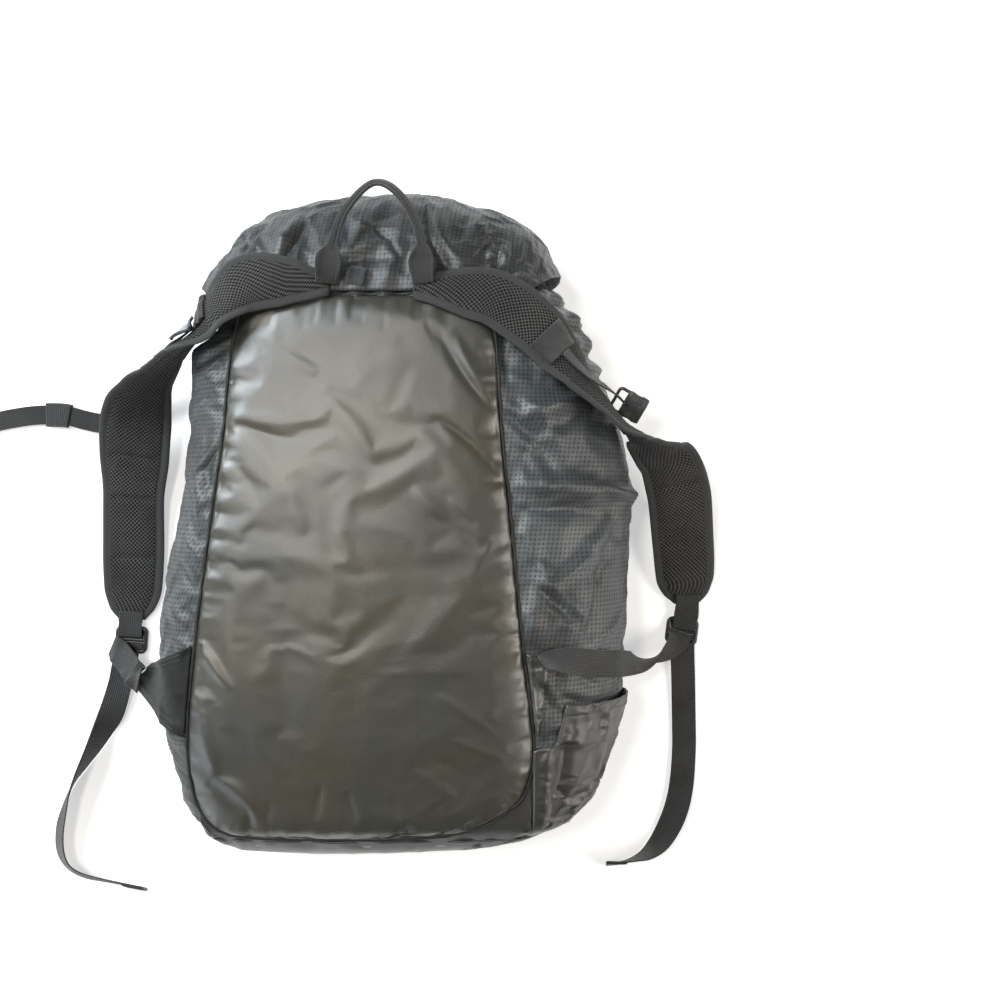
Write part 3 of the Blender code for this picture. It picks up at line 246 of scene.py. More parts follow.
def pocket_edge(share):
    """Where the pocket's inner edge lies at shares of its height: straight up along the panel's seam
    for its lower part, then out to the end of its hem."""
    line = POCKET["inner_bottom"] + (POCKET["inner_hem"] - POCKET["inner_bottom"]) * share
    return PACK_WIDTH * (POCKET["inner_bottom"] + (line - POCKET["inner_bottom"]) * eased(0.65, 0.71, share))


def column(rows, columns, name):
    """One named column of a table as an array."""
    return np.array([row[columns.index(name)] for row in rows], float)


def through(knots, values, x):
    """Smooth curve through the table's values that never swings past them (monotone cubic)."""
    step = np.diff(knots)
    slope = np.diff(values) / step
    same = slope[:-1] * slope[1:] > 0
    before, after = np.where(same, slope[:-1], 1.0), np.where(same, slope[1:], 1.0)
    far, near = 2 * step[1:] + step[:-1], step[1:] + 2 * step[:-1]
    inner = np.where(same, (far + near) / (far / before + near / after), 0.0)
    tangent = np.concatenate([slope[:1], inner, slope[-1:]])
    i = np.clip(np.searchsorted(knots, x) - 1, 0, len(step) - 1)
    t = np.clip((x - knots[i]) / step[i], 0.0, 1.0)
    return (
        values[i] * (1 + 2 * t) * (1 - t) ** 2
        + tangent[i] * step[i] * t * (1 - t) ** 2
        + values[i + 1] * t**2 * (3 - 2 * t)
        + tangent[i + 1] * step[i] * t**2 * (t - 1)
    )


def unit(vectors):
    """The vectors at length 1."""
    return vectors / np.maximum(np.linalg.norm(vectors, axis=-1, keepdims=True), 1e-12)


def eased(low, high, x):
    """Rises smoothly from 0 at low to 1 at high."""
    t = np.clip((x - low) / (high - low), 0, 1)
    return t * t * (3 - 2 * t)


def rumple(u, v, pitch, seed):
    """Smooth random heights from -1 to 1: a seeded lattice of that pitch, eased between its points."""
    lattice = np.random.default_rng(seed).uniform(-1, 1, (64, 64))
    a, b = np.broadcast_arrays(u / pitch, v / pitch)
    i, j = np.floor(a).astype(int), np.floor(b).astype(int)
    s, t = a - i, b - j
    s, t = s * s * (3 - 2 * s), t * t * (3 - 2 * t)
    low = lattice[i % 64, j % 64] * (1 - s) + lattice[(i + 1) % 64, j % 64] * s
    high = lattice[i % 64, (j + 1) % 64] * (1 - s) + lattice[(i + 1) % 64, (j + 1) % 64] * s
    return low * (1 - t) + high * t


def wrinkled(u, v, pitch, seed):
    """Thin crooked ridges, about -0.3 to 1: one less the size of random heights read at bent places."""
    bent_u = u + pitch * rumple(u, v, 1.7 * pitch, seed + 1)
    bent_v = v + pitch * rumple(u, v, 1.7 * pitch, seed + 2)
    ridges = 1 - np.abs(rumple(bent_u, bent_v, pitch, seed))
    finer = 1 - np.abs(rumple(bent_u, bent_v, 0.45 * pitch, seed + 3))
    return ridges**3 + 0.4 * finer**3 - 0.4


def folded(x, y, rows):
    """Sum of the table's folds at plan points: each a bell across its line, sharper where it is a
    crease, highest at its middle and fading past its ends."""
    total = np.zeros(np.shape(x))
    for x0, y0, x1, y1, bow, half_width, rise in np.array(rows) / 1000:
        ahead = np.array([x1 - x0, y1 - y0])
        length = np.hypot(*ahead)
        share = ((x - x0) * ahead[0] + (y - y0) * ahead[1]) / length**2
        aside = ((y - y0) * ahead[0] - (x - x0) * ahead[1]) / length
        inside = np.clip(share, 0, 1)
        middle = 4 * inside * (1 - inside)
        away = np.abs(aside - bow * middle) / (half_width * (0.45 + 0.55 * middle))
        fall = np.exp(-(away**2)) if rise > 0 else np.exp(-(away**1.4))
        total += rise * middle**0.8 * fall
    return total


def body_section(y):
    """The section's edges, seams and heights at each y, in the order of the table's columns."""
    knots = column(BODY_ROWS, BODY_COLUMNS, "y") * PACK_LENGTH
    scales = (PACK_WIDTH,) * 4 + (PACK_DEPTH,) * 3
    return [
        (through(knots, column(BODY_ROWS, BODY_COLUMNS, name), y) * scale)[:, None]
        for name, scale in zip(BODY_COLUMNS[1:], scales)
    ]


def body_grid(y, spread=0.0):
    """Points round the body at each y, from the left seam over the back, and the outward directions.

    Each side is two quarter ellipses that meet at its widest place, and the front is flat.
    """
    left, left_seam, right_seam, right, top, side, base = body_section(y)
    left_foot = left + LEFT_FOOT_INSET * PACK_WIDTH
    right_foot = right - RIGHT_FOOT_INSET * PACK_WIDTH
    across = np.linspace(0, 1, TOP_COUNT)
    upper = np.linspace(0, math.pi / 2, SIDE_COUNT + 1)[1:]
    lower = np.linspace(0, math.pi / 2, SIDE_COUNT // 2 + 1)[1:]
    under = np.linspace(0, 1, FRONT_COUNT + 1)[1:]
    crown = CROWN * PACK_DEPTH * (1 - (2 * across - 1) ** 2)
    x = np.concatenate([
        left_seam + (right_seam - left_seam) * across,
        right_seam + (right - right_seam) * np.sin(upper),
        right_foot + (right - right_foot) * np.cos(lower),
        right_foot + (left_foot - right_foot) * under,
        left_foot + (left - left_foot) * np.cos(lower[::-1] - lower[0]),
        left_seam + (left - left_seam) * np.sin(upper[-2::-1]),
    ], axis=1)
    z = np.concatenate([
        top + crown,
        side + (top - side) * np.cos(upper),
        base + (side - base) * (1 - np.sin(lower)),
        base + 0 * under,
        base + (side - base) * (1 - np.sin(lower[::-1] - lower[0])),
        side + (top - side) * np.cos(upper[-2::-1]),
    ], axis=1)
    grid = np.stack([x, np.broadcast_to(y[:, None], x.shape), z], axis=-1)
    onward = np.roll(grid, -1, axis=1) - np.roll(grid, 1, axis=1)
    normal = unit(np.stack([-onward[..., 2], 0 * x, onward[..., 0]], axis=-1))
    held = eased(0, 0.012, z - base)[..., None]
    return grid + normal * spread * np.where(base[..., None] > 0, 1, held), normal * held


def back_height(x, y):
    """Height of the bag's back between the seams."""
    section = [value.reshape(np.shape(x)) for value in body_section(y.ravel())]
    left_seam, right_seam, top = section[1], section[2], section[4]
    across = np.clip((x - left_seam) / (right_seam - left_seam), 0, 1)
    return top + CROWN * PACK_DEPTH * (1 - (2 * across - 1) ** 2)


def ringed(grid):
    """The grid with its first column repeated at the end."""
    return np.concatenate([grid, grid[:, :1]], axis=1)


def around_lengths(grid):
    """Distance along each row from its first point, with a last column that closes the row."""
    steps = np.linalg.norm(np.diff(ringed(grid), axis=1), axis=-1)
    return np.pad(np.cumsum(steps, axis=1), ((0, 0), (1, 0)))


def paired(values, run):
    """Values on a grid, each with the number of its row beside it: a UV map or points in the plane."""
    return np.stack([values, np.broadcast_to(run[:, None], values.shape)], axis=-1)


def grid_quads(shape, around, along=False):
    """A grid's faces by their corners' numbers, joined round or end to end where asked, and the row
    and the column that each starts at."""
    rows, columns = shape[:2]
    i, j = np.meshgrid(np.arange(rows - 1 + along), np.arange(columns - 1 + around), indexing="ij")
    below, after = (i + 1) % rows, (j + 1) % columns
    corners = [i * columns + j, i * columns + after, below * columns + after, below * columns + j]
    return np.stack(corners, axis=-1), i, j


def end_caps(rows, columns, start=0):
    """The two faces that close a tube of rings."""
    ring = np.arange(start, start + columns)
    return [ring[::-1].tolist(), (ring + (rows - 1) * columns).tolist()]


def surface(name, grid, finish, around=False, along=False, uv=None, caps=False):
    """A smooth mesh over rows and columns of points, joined round where asked, with its own UV map.

    uv has one column more than the grid where the columns are joined, and one row more where rows are.
    """
    quads, i, j = grid_quads(grid.shape, around, along)
    faces = quads.reshape(-1, 4).tolist() + (end_caps(*grid.shape[:2]) if caps else [])
    made = mesh_object(name, grid, faces, finish)
    if uv is not None:
        corners = np.zeros((len(made.data.loops), 2))
        picked = np.stack([uv[i, j], uv[i, j + 1], uv[i + 1, j + 1], uv[i + 1, j]], axis=-2)
        corners[: picked.size // 2] = picked.reshape(-1, 2)
        made.data.uv_layers.new(name="UVMap").data.foreach_set("uv", corners.ravel())
    return made


def dressed(obj, slot, *nodes):
    """Puts a piece on the part's one body, in place of the plain solids that it stands for."""
    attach(obj, "root")
    if nodes:
        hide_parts(*nodes)
    return obj


def walled(obj, thickness):
    """Gives a cloth its wall, on its inner side."""
    wall = obj.modifiers.new("wall", "SOLIDIFY")
    wall.thickness = thickness
    wall.offset = -1.0
    wall.use_even_offset = False
    return obj


def local_mean(values, reach):
    """Mean of the grid's values over a square of points round each one, by running sums."""
    for axis in (0, 1):
        padding = [(reach + 1, reach) if k == axis else (0, 0) for k in range(values.ndim)]
        total = np.cumsum(np.pad(values, padding, "edge"), axis=axis)
        high, low = np.roll(total, -2 * reach - 1, axis=axis), total
        values = np.take(high - low, np.arange(values.shape[axis]), axis=axis) / (2 * reach + 1)
    return values


def crumpled(grid, held, excess, bend, cap, pressure=0.6):
    """Settles a cloth that is cut too large by the share excess, by simulation, between its held points.

    The slack buckles into folds. The mean shift round each point is taken off again, so the cloth as a
    whole stays in place, and no point moves further than the cap.
    """
    slack = surface("slack_cloth", grid, ripstop)
    slack.vertex_groups.new(name="held").add(np.flatnonzero(held.ravel()).tolist(), 1.0, "REPLACE")
    cloth = slack.modifiers.new("cloth", "CLOTH")
    cloth.point_cache.frame_end = CLOTH_FRAMES
    cloth.collision_settings.use_collision = False
    rules = {
        "quality": 5, "mass": 0.2, "air_damping": 2.0, "tension_stiffness": 20, "compression_stiffness": 20,
        "shear_stiffness": 8, "bending_stiffness": bend, "vertex_group_mass": "held", "pin_stiffness": 20,
        "shrink_min": -excess, "use_pressure": True, "uniform_pressure_force": pressure,
    }
    for rule, value in rules.items():
        setattr(cloth.settings, rule, value)
    cloth.settings.effector_weights.gravity = 0
    for step in range(1, CLOTH_FRAMES + 1):
        bpy.context.scene.frame_set(step)
    settled = slack.evaluated_get(bpy.context.evaluated_depsgraph_get()).to_mesh()
    places = np.empty(len(settled.vertices) * 3)
    settled.vertices.foreach_get("co", places)
    bpy.data.objects.remove(slack, do_unlink=True)
    bpy.context.scene.frame_set(1)
    moved = places.reshape(grid.shape) - grid
    moved -= local_mean(moved, MEAN_REACH)
    size = np.linalg.norm(moved, axis=-1, keepdims=True)
    return grid + moved * np.minimum(1, cap / np.maximum(size, 1e-9))


def feed(tree, sockets, values):
    """Sets or links sockets in order. None leaves one as it is."""
    for socket, value in zip(sockets, values):
        if isinstance(value, bpy.types.NodeSocket):
            tree.links.new(value, socket)
        elif value is not None:
            socket.default_value = value


def wire(tree, kind, *values, **settings):
    """Adds a node, sets or links its inputs in order, and returns its first output."""
    made = tree.nodes.new(kind)
    for setting, value in settings.items():
        setattr(made, setting, value)
    feed(tree, made.inputs, values)
    return made.outputs[0]


def maths(tree, operation, *values, clamp=False):
    """A math node's result."""
    return wire(tree, "ShaderNodeMath", *values, operation=operation, use_clamp=clamp)


def blended(tree, share, one, other, mode="MIX"):
    """Mix of two colours."""
    mix = tree.nodes.new("ShaderNodeMix")
    mix.data_type = "RGBA"
    mix.blend_type = mode
    feed(tree, (mix.inputs[0], mix.inputs[6], mix.inputs[7]), (share, one, other))
    return mix.outputs[2]


def shaded(tree, colour, shade):
    """The colour times a shade of grey."""
    grey = wire(tree, "ShaderNodeCombineColor", shade, shade, shade)
    return blended(tree, 1.0, colour, grey, "MULTIPLY")


def noise(tree, scale, detail=2.0, rough=0.5):
    """Noise from the Object place."""
    place = tree.nodes.new("ShaderNodeTexCoord").outputs["Object"]
    return wire(tree, "ShaderNodeTexNoise", place, None, scale, detail, rough)


def place_parts(tree, kind):
    """X, Y and Z of the Object place or of the UV map."""
    parts = tree.nodes.new("ShaderNodeSeparateXYZ")
    tree.links.new(tree.nodes.new("ShaderNodeTexCoord").outputs[kind], parts.inputs[0])
    return parts.outputs


def effect(name, inputs, outputs):
    """An empty node group with named number or colour sockets, and its input and output nodes."""
    group = bpy.data.node_groups.new(name, "ShaderNodeTree")
    for way, sockets in (("INPUT", inputs), ("OUTPUT", outputs)):
        for socket, kind in sockets.items():
            group.interface.new_socket(socket, in_out=way, socket_type=f"NodeSocket{kind}")
    return group, group.nodes.new("NodeGroupInput").outputs, group.nodes.new("NodeGroupOutput").inputs


def use(tree, group, *values):
    """Places a node group in a material and returns all its outputs."""
    made = tree.nodes.new("ShaderNodeGroup")
    made.node_tree = group
    feed(tree, made.inputs, values)
    return made.outputs


def finished(tree, inputs, colour, roughness, height, strength, distance):
    """Links a material's colour, its roughness and, through a bump, its height."""
    bump = tree.nodes.new("ShaderNodeBump")
    bump.inputs["Strength"].default_value = strength
    bump.inputs["Distance"].default_value = distance
    feed(tree, (inputs["Base Color"], inputs["Roughness"], bump.inputs["Height"], inputs["Normal"]),
         (colour, roughness, height, bump.outputs[0]))


def drift_effect():
    """Colour that drifts over a piece: large soft patches and fine mottling, from the Object place."""
    group, given, result = effect(
        "colour_drift", {"Colour": "Color", "Other": "Color", "Patch Size": "Float", "Mottle": "Float"},
        {"Colour": "Color", "Patches": "Float"},
    )
    patches = noise(group, maths(group, "DIVIDE", 1.0, given["Patch Size"]), 2.0, 0.55)
    patches = wire(group, "ShaderNodeMapRange", patches, 0.35, 0.65, 0.0, 1.0)
    mottle = maths(group, "MULTIPLY", noise(group, 900.0, 2.0, 0.6), given["Mottle"])
    colour = blended(group, patches, given["Colour"], given["Other"])
    feed(group, result, (shaded(group, colour, maths(group, "SUBTRACT", 1.0, mottle)), patches))
    return group


def weave_effect():
    """Plain weave from the UV map in metres: threads that cross over and under each other as the
    product of two waves, with the height for bump and a shade that is darker between threads."""
    group, given, result = effect(
        "plain_weave", dict.fromkeys(("Pitch Across", "Pitch Along"), "Float"),
        dict.fromkeys(("Height", "Shade"), "Float"),
    )
    crossing = maths(group, "MULTIPLY", *(
        maths(group, "SINE", maths(group, "DIVIDE", maths(group, "MULTIPLY", place, math.tau), pitch))
        for place, pitch in zip(place_parts(group, "UV")[:2], given)
    ))
    shade = maths(group, "MULTIPLY_ADD", crossing, 0.5, 0.5)
    feed(group, result, (maths(group, "ABSOLUTE", crossing), shade))
    return group


def ripstop_effect():
    """Ripstop from the UV map in metres: a grid of small dark squares where the strong threads leave
    a thin window, and the fine raised lines of those threads between them."""
    group, given, result = effect(
        "ripstop_grid", {"Pitch": "Float", "Window": "Float"}, {"Squares": "Float", "Lines": "Float"}
    )
    insides = []
    for place in place_parts(group, "UV")[:2]:
        share = maths(group, "FRACT", maths(group, "DIVIDE", place, given["Pitch"]))
        away = maths(group, "ABSOLUTE", maths(group, "SUBTRACT", share, 0.5))
        edge = maths(group, "SUBTRACT", given["Window"], away)
        insides.append(maths(group, "MULTIPLY", edge, 9.0, clamp=True))
    lines = maths(group, "SUBTRACT", 1.0, maths(group, "MAXIMUM", *insides))
    feed(group, result, (maths(group, "MULTIPLY", *insides), lines))
    return group


colour_drift = drift_effect()
plain_weave = weave_effect()
ripstop_grid = ripstop_effect()

RIPSTOP_COLOUR = (0.078, 0.092, 0.100, 1)
RIPSTOP_WARM = (0.036, 0.037, 0.035, 1)
RIPSTOP_SQUARES = (0.006, 0.007, 0.008, 1)
RIPSTOP_LINES = (0.20, 0.22, 0.23, 1)
RIPSTOP_PITCH = 0.0042
RIPSTOP_THREADS = 0.0006


def ripstop_material(name, colour, other, window):
    """Thin ripstop nylon: drifting colour under a grid of dark squares, which are duller."""
    made, tree, inputs = new_material(
        name, colour, 0.46, Sheen_Weight=0.10, Sheen_Roughness=0.35, Sheen_Tint=(0.80, 0.90, 1.0, 1),
        Specular_IOR_Level=0.9,
    )
    drifted = use(tree, colour_drift, colour, other, 0.09, 0.35)
    squares, lines = use(tree, ripstop_grid, RIPSTOP_PITCH, window)
    threads = use(tree, plain_weave, RIPSTOP_THREADS, RIPSTOP_THREADS)
    coloured = blended(tree, maths(tree, "MULTIPLY", squares, 0.85), drifted["Colour"], RIPSTOP_SQUARES)
    coloured = blended(tree, maths(tree, "MULTIPLY", lines, 0.10), coloured, RIPSTOP_LINES)
    rough = maths(tree, "MULTIPLY_ADD", drifted["Patches"], 0.10, 0.40)
    rough = maths(tree, "MULTIPLY_ADD", squares, 0.22, rough)
    height = maths(tree, "MULTIPLY_ADD", lines, 0.7, maths(tree, "MULTIPLY", threads["Height"], 0.3))
    finished(tree, inputs, coloured, rough, height, 0.35, 0.0003)
    return made


ripstop = ripstop_material("ripstop_cloth", RIPSTOP_COLOUR, RIPSTOP_WARM, 0.27)

PANEL_BOTTOM = -0.500 * PACK_LENGTH
PIPING_RADIUS = 0.0016
SEAM_LAP = 0.008
cup_edge = PANEL_BOTTOM - 2 * PIPING_RADIUS - 4 * CLEARANCE

body_y = np.linspace(cup_edge - SEAM_LAP, BODY_ROWS[-1][0] * PACK_LENGTH, BODY_STATIONS)
body_plain, body_out = body_grid(body_y)
x, y, z = np.moveaxis(body_plain, -1, 0)
body_round = around_lengths(body_plain)
round_share = body_round[:, :-1] / body_round[:, -1:]
left_seam, right_seam = body_plain[:, :1, 0], body_plain[:, TOP_COUNT - 1 : TOP_COUNT, 0]
outside = np.clip(np.abs(x - 0.5 * (left_seam + right_seam)) - 0.5 * (right_seam - left_seam), 0, None)
shown = eased(0.0, 0.006, outside) * eased(0.01, 0.06, z)
collar = eased(COLLAR_START, BODY_ROWS[-1][0] * PACK_LENGTH, y)
phase = math.tau * COLLAR_GATHERS * round_share + 1.5 * rumple(round_share, y, 0.09, 4)
gathers = GATHER_DEPTH * collar * np.sin(phase) * eased(0.004, 0.02, z)
ruffle_phase = math.tau * y / RUFFLE_PITCH + 2 * rumple(x, y, 0.05, 9)
ruffles = RUFFLE_DEPTH * eased(*RUFFLE_START, y) * np.sin(ruffle_phase)
ruffles *= eased(0.03, 0.05, outside) * (x > 0) * eased(0.02, 0.05, z)
relief = shown * (
    SIDE_FOLD_SHARE * folded(x, y, RIGHT_FOLDS) * (x > 0)
    + SIDE_FOLD_SHARE * folded(x, y, LEFT_FOLDS) * (x < 0)
)
relief += SIDE_WRINKLE * shown * wrinkled(body_round[:, :-1], y, 0.040, 21)
relief += 0.5 * SIDE_WRINKLE * shown * (1 - collar) * wrinkled(1.6 * body_round[:, :-1], 0.6 * y, 0.018, 27)
relief = np.minimum(relief, 0.0015 + 0.02 * eased(0.05, 0.09, z))
body_shape = body_plain + body_out * (relief + gathers + ruffles)[..., None]
right_side = np.arange(TOP_COUNT - 1, TOP_COUNT + SIDE_COUNT + SIDE_COUNT // 3)
left_side = np.append(np.arange(-SIDE_COUNT - SIDE_COUNT // 3, 0), 0)
for picked in (right_side, left_side):
    part = body_shape[:, picked]
    held = part[..., 2] < SIDE_HELD
    held[:2] = held[-2:] = held[:, :2] = held[:, -2:] = True
    body_shape[:, picked] = crumpled(part, held, SIDE_SLACK, SIDE_BEND, SIDE_CAP)
pocket_share = (y / PACK_LENGTH - POCKET["bottom"]) / (POCKET["hem"] - POCKET["bottom"])
under_pocket = eased(-0.004, 0.003, x - pocket_edge(pocket_share)) * eased(1.02, 0.97, pocket_share) * (x > 0)
body_shape += (body_plain - body_shape) * under_pocket[..., None]
body_shape[..., 2] = np.maximum(body_shape[..., 2], 0)
bag_body = surface("bag_body_cloth", body_shape, ripstop, around=True, uv=paired(body_round, body_y))
dressed(walled(bag_body, THIN_CLOTH), "ripstop", "bag_body")


# What lies on what: a height map of the floor and of the pieces made so far, so that the panel,
# straps and webbing can be laid on them one after another.

MAP_PITCH = 0.002
MAP_MARGIN = 0.05


def finer(grid, times):
    """Linear in-between points along the rows."""
    at = np.linspace(0, len(grid) - 1, (len(grid) - 1) * times + 1)
    i = np.minimum(at.astype(int), len(grid) - 2)
    t = (at - i)[:, None, None]
    return grid[i] * (1 - t) + grid[i + 1] * t


class Ground:
    """Highest surface over the floor on a grid of places, read back by linear blending."""

    def __init__(self):
        low, high = np.array(cad_box[0]), np.array(cad_box[1])
        self.low = low[:2] - MAP_MARGIN
        self.top = np.zeros(np.ceil((high[:2] + MAP_MARGIN - self.low) / MAP_PITCH).astype(int) + 2)

    def add(self, grid, times=(3, 3)):
        """Marks a surface's points, fills the pits between them and keeps what is higher."""
        points = finer(finer(grid, times[0]).transpose(1, 0, 2), times[1]).reshape(-1, 3)
        i, j = np.rint((points[:, :2] - self.low) / MAP_PITCH).astype(int).T
        inside = (i >= 0) & (j >= 0) & (i < self.top.shape[0]) & (j < self.top.shape[1])
        own = np.zeros(self.top.shape)
        np.maximum.at(own, (i[inside], j[inside]), points[inside, 2])
        for pick in (np.maximum, np.minimum):
            for axis in (0, 1):
                own = pick(pick(own, np.roll(own, 1, axis)), np.roll(own, -1, axis))
        self.top = np.maximum(self.top, own)

    def heights(self, points):
        """The surface's height under points."""
        place = (points[..., :2] - self.low) / MAP_PITCH
        place = np.clip(place, 0, np.array(self.top.shape) - 1.001)
        i, j = np.moveaxis(place.astype(int), -1, 0)
        s, t = np.moveaxis(place % 1, -1, 0)
        low = self.top[i, j] * (1 - s) + self.top[i + 1, j] * s
        high = self.top[i, j + 1] * (1 - s) + self.top[i + 1, j + 1] * s
        return low * (1 - t) + high * t


ground = Ground()
ground.add(ringed(body_shape))


# The bottom panel: a cup of smooth nylon that closes the lower end and laps over the ripstop, with
# small gathers where it is sewn along the back panel.

CUP_STATIONS = 26
CUP_WALL = 0.0010
CUP_GAP = 0.0009
CUP_PLEAT = 0.0016
CUP_FOLDS = (
    (-98, -284, -104, -300, 0, 4, -2.4),
    (-66, -286, -70, -302, 0, 3, -2.0),
    (-46, -286, -48, -303, 0, 3, 2.0),
    (-18, -286, -16, -303, 0, 4, -2.0),
    (20, -285, 22, -298, 0, 3, -1.6),
    (60, -282, 66, -296, 0, 4, -1.8),
    (100, -280, 112, -292, 0, 5, -1.8),
)
NYLON_COLOUR = (0.050, 0.047, 0.039, 1)
NYLON_COOL = (0.036, 0.038, 0.036, 1)
TWILL_PITCH = 0.0016
NYLON_IOR = 1.62
GRAIN_SIZE = 0.0010


def nylon_material(name, colour, other, roughness, sheen, gloss=1.0):
    """Satin nylon: fine diagonal twill and grain, painted a little darker where they lie low as painted
    shade, with a broad gloss that differs from patch to patch.
    """
    made, tree, inputs = new_material(
        name, colour, roughness, IOR=NYLON_IOR, Sheen_Weight=sheen, Sheen_Roughness=0.3,
        Sheen_Tint=(0.92, 0.96, 1.0, 1), Specular_IOR_Level=gloss,
    )
    drifted = use(tree, colour_drift, colour, other, 0.12, 0.55)
    parts = place_parts(tree, "Object")
    twill, threads = (
        maths(tree, "SINE", maths(tree, "MULTIPLY", place, math.tau / TWILL_PITCH))
        for place in (maths(tree, "ADD", parts[0], parts[1]), parts[0])
    )
    height = maths(tree, "MULTIPLY_ADD", twill, 0.35, maths(tree, "MULTIPLY", threads, 0.15))
    height = maths(tree, "MULTIPLY_ADD", noise(tree, 1 / GRAIN_SIZE, 2.0, 0.7), 1.4, height)
    # Painted shade: the colour follows the height of the twill and grain, darker in their low places.
    coloured = shaded(tree, drifted["Colour"], maths(tree, "MULTIPLY_ADD", height, 0.16, 0.95))
    rough = maths(tree, "MULTIPLY_ADD", drifted["Patches"], 0.09, roughness - 0.04)
    finished(tree, inputs, coloured, rough, height, 0.30, 0.0003)
    return made


side_nylon = nylon_material("smooth_side_nylon", NYLON_COLOUR, NYLON_COOL, 0.44, 0.25)

cup_start = BODY_ROWS[0][0] * PACK_LENGTH
cup_y = cup_start + (cup_edge - cup_start) * np.linspace(0, 1, CUP_STATIONS) ** 1.6
cup_plain, cup_out = body_grid(cup_y, CUP_GAP)
x, y, z = np.moveaxis(cup_plain, -1, 0)
near_seam = eased(0.06, 0.10, z)
cup_relief = near_seam * folded(x, y, CUP_FOLDS) * 0.6
cup_relief += CUP_PLEAT * near_seam * rumple(x, 0 * x, 0.009, 31) * eased(cup_start, cup_edge, y)
cup_relief += 0.0010 * eased(0.0, 0.02, z) * wrinkled(x, z, 0.03, 33)
cup_shape = cup_plain + cup_out * cup_relief[..., None]
end_row = cup_shape[:1] * (1, 0, 1) + np.array([0, cup_start, 0])
middle = end_row.mean(axis=1, keepdims=True)
closing = np.concatenate([middle + (end_row - middle) * share for share in (0.02, 0.35, 0.7)])
cup_shape = np.concatenate([closing, cup_shape])
cup_round = around_lengths(cup_shape)
bottom_panel = surface("bottom_panel_cloth", cup_shape, side_nylon, around=True,
                       uv=paired(cup_round, cup_shape[:, 0, 1]))
dressed(walled(bottom_panel, CUP_WALL), "smooth_nylon", "bottom_panel")
ground.add(ringed(cup_shape))


# The back panel: satin nylon over a thin foam, sewn all round, so it swells off its seam and the
# seam draws it into small puckers. Slack in the cloth lies in soft slanting folds.

PANEL_COLUMNS = ("y", "left", "right")
PANEL_ROWS = (
    (-0.500, -0.215, 0.030),
    (-0.495, -0.287, 0.100),
    (-0.484, -0.322, 0.172),
    (-0.462, -0.350, 0.230),
    (-0.425, -0.368, 0.280),
    (-0.360, -0.378, 0.298),
    (-0.205, -0.362, 0.278),
    (-0.068, -0.341, 0.261),
    (0.038, -0.323, 0.248),
    (0.137, -0.306, 0.235),
    (0.274, -0.289, 0.224),
    (0.355, -0.265, 0.212),
)
PANEL_POINTS = 120  # across
PANEL_STATIONS = 240
PANEL_SWELL = 0.0060
PANEL_EDGE = 0.0012
SWELL_REACH = 0.009  # how far in from the seam the panel rises
PUCKER_DEPTH = 0.0017
PUCKER_SHIFT = 0.0010  # how far the seam's puckers push the panel's edge aside
PUCKER_PITCH = 0.012
PUCKER_REACH = 0.008
PANEL_FOLD_SHARE = 0.55
PANEL_SLACK = 0.003
PANEL_BEND = 4.0
PANEL_CAP = 0.0014
PANEL_PRESSURE = 0.3
PANEL_FOLDS = (
    (-112, 175, -54, 132, 0, 8, 2.4),
    (-93, 163, -49, 142, 0, 4, -1.6),
    (-45, 115, -2, 54, 2, 8, 2.4),
    (-139, 99, -45, 95, -4, 8, 2.2),
    (-138, 94, -61, 74, -4, 6, -2.8),
    (-138, 59, -107, 14, 5, 8, -2.6),
    (-107, 66, -65, -10, 4, 10, 2.2),
    (54, 172, 105, 98, -3, 3.5, -5.0),
    (69, 171, 102, 113, -3, 5, 2.6),
    (91, 159, 106, 118, 0, 2.5, -2.6),
    (52, 94, 111, 36, 6, 5, -4.6),
    (35, 84, 87, 16, 5, 9, 2.2),
    (30, 33, 61, 3, 0, 6, 2.2),
    (62, 23, 88, 3, 0, 4, 1.6),
    (41, 7, 89, -23, 4, 8, -1.8),
    (-166, -102, -133, -151, -2, 5, 3.6),
    (-169, -119, -143, -164, -2, 7, -2.6),
    (87, -42, 31, -117, 0, 18, 2.4),
    (53, -153, 107, -192, 0, 5, 2.2),
    (65, -195, 114, -215, 0, 5, 2.0),
    (31, -223, 71, -251, 0, 6, 2.4),
    (41, -210, 109, -242, 0, 7, -1.6),
    (-78, -30, -90, -235, 0, 46, -5.0),
    (-168, -150, -150, -232, 0, 9, 4.5),
    (-150, -232, -112, -262, 4, 8, 4.0),
    (133, -215, 133, -262, 0, 8, 3.0),
    (-52, -233, -61, -276, 0, 5, -2.6),
    (-31, -242, -22, -274, 0, 5, -3.2),
    (11, -246, 18, -271, 0, 4, -2.0),
    (-99, -251, -107, -280, 0, 5, -1.6),
    (-40, -119, -41, -151, 0, 9, 1.2),
    (-31, 202, 55, 175, 0, 30, 1.6),
)
SATIN_COLOUR = (0.082, 0.072, 0.047, 1)
SATIN_COOL = (0.046, 0.046, 0.037, 1)


def panel_sides(y):
    """Where the panel's left and right seams lie at each y."""
    knots = column(PANEL_ROWS, PANEL_COLUMNS, "y") * PACK_LENGTH
    return [through(knots, column(PANEL_ROWS, PANEL_COLUMNS, n), y) * PACK_WIDTH for n in PANEL_COLUMNS[1:]]


def run_of(line):
    """Distance along a line of points from its first one."""
    return np.concatenate([[0], np.cumsum(np.linalg.norm(np.diff(line, axis=0), axis=1))])


def read_at(at, run, line):
    """Places on a line of points at distances along it."""
    return np.stack([np.interp(at, run, line[:, k]) for k in range(line.shape[1])], axis=1)


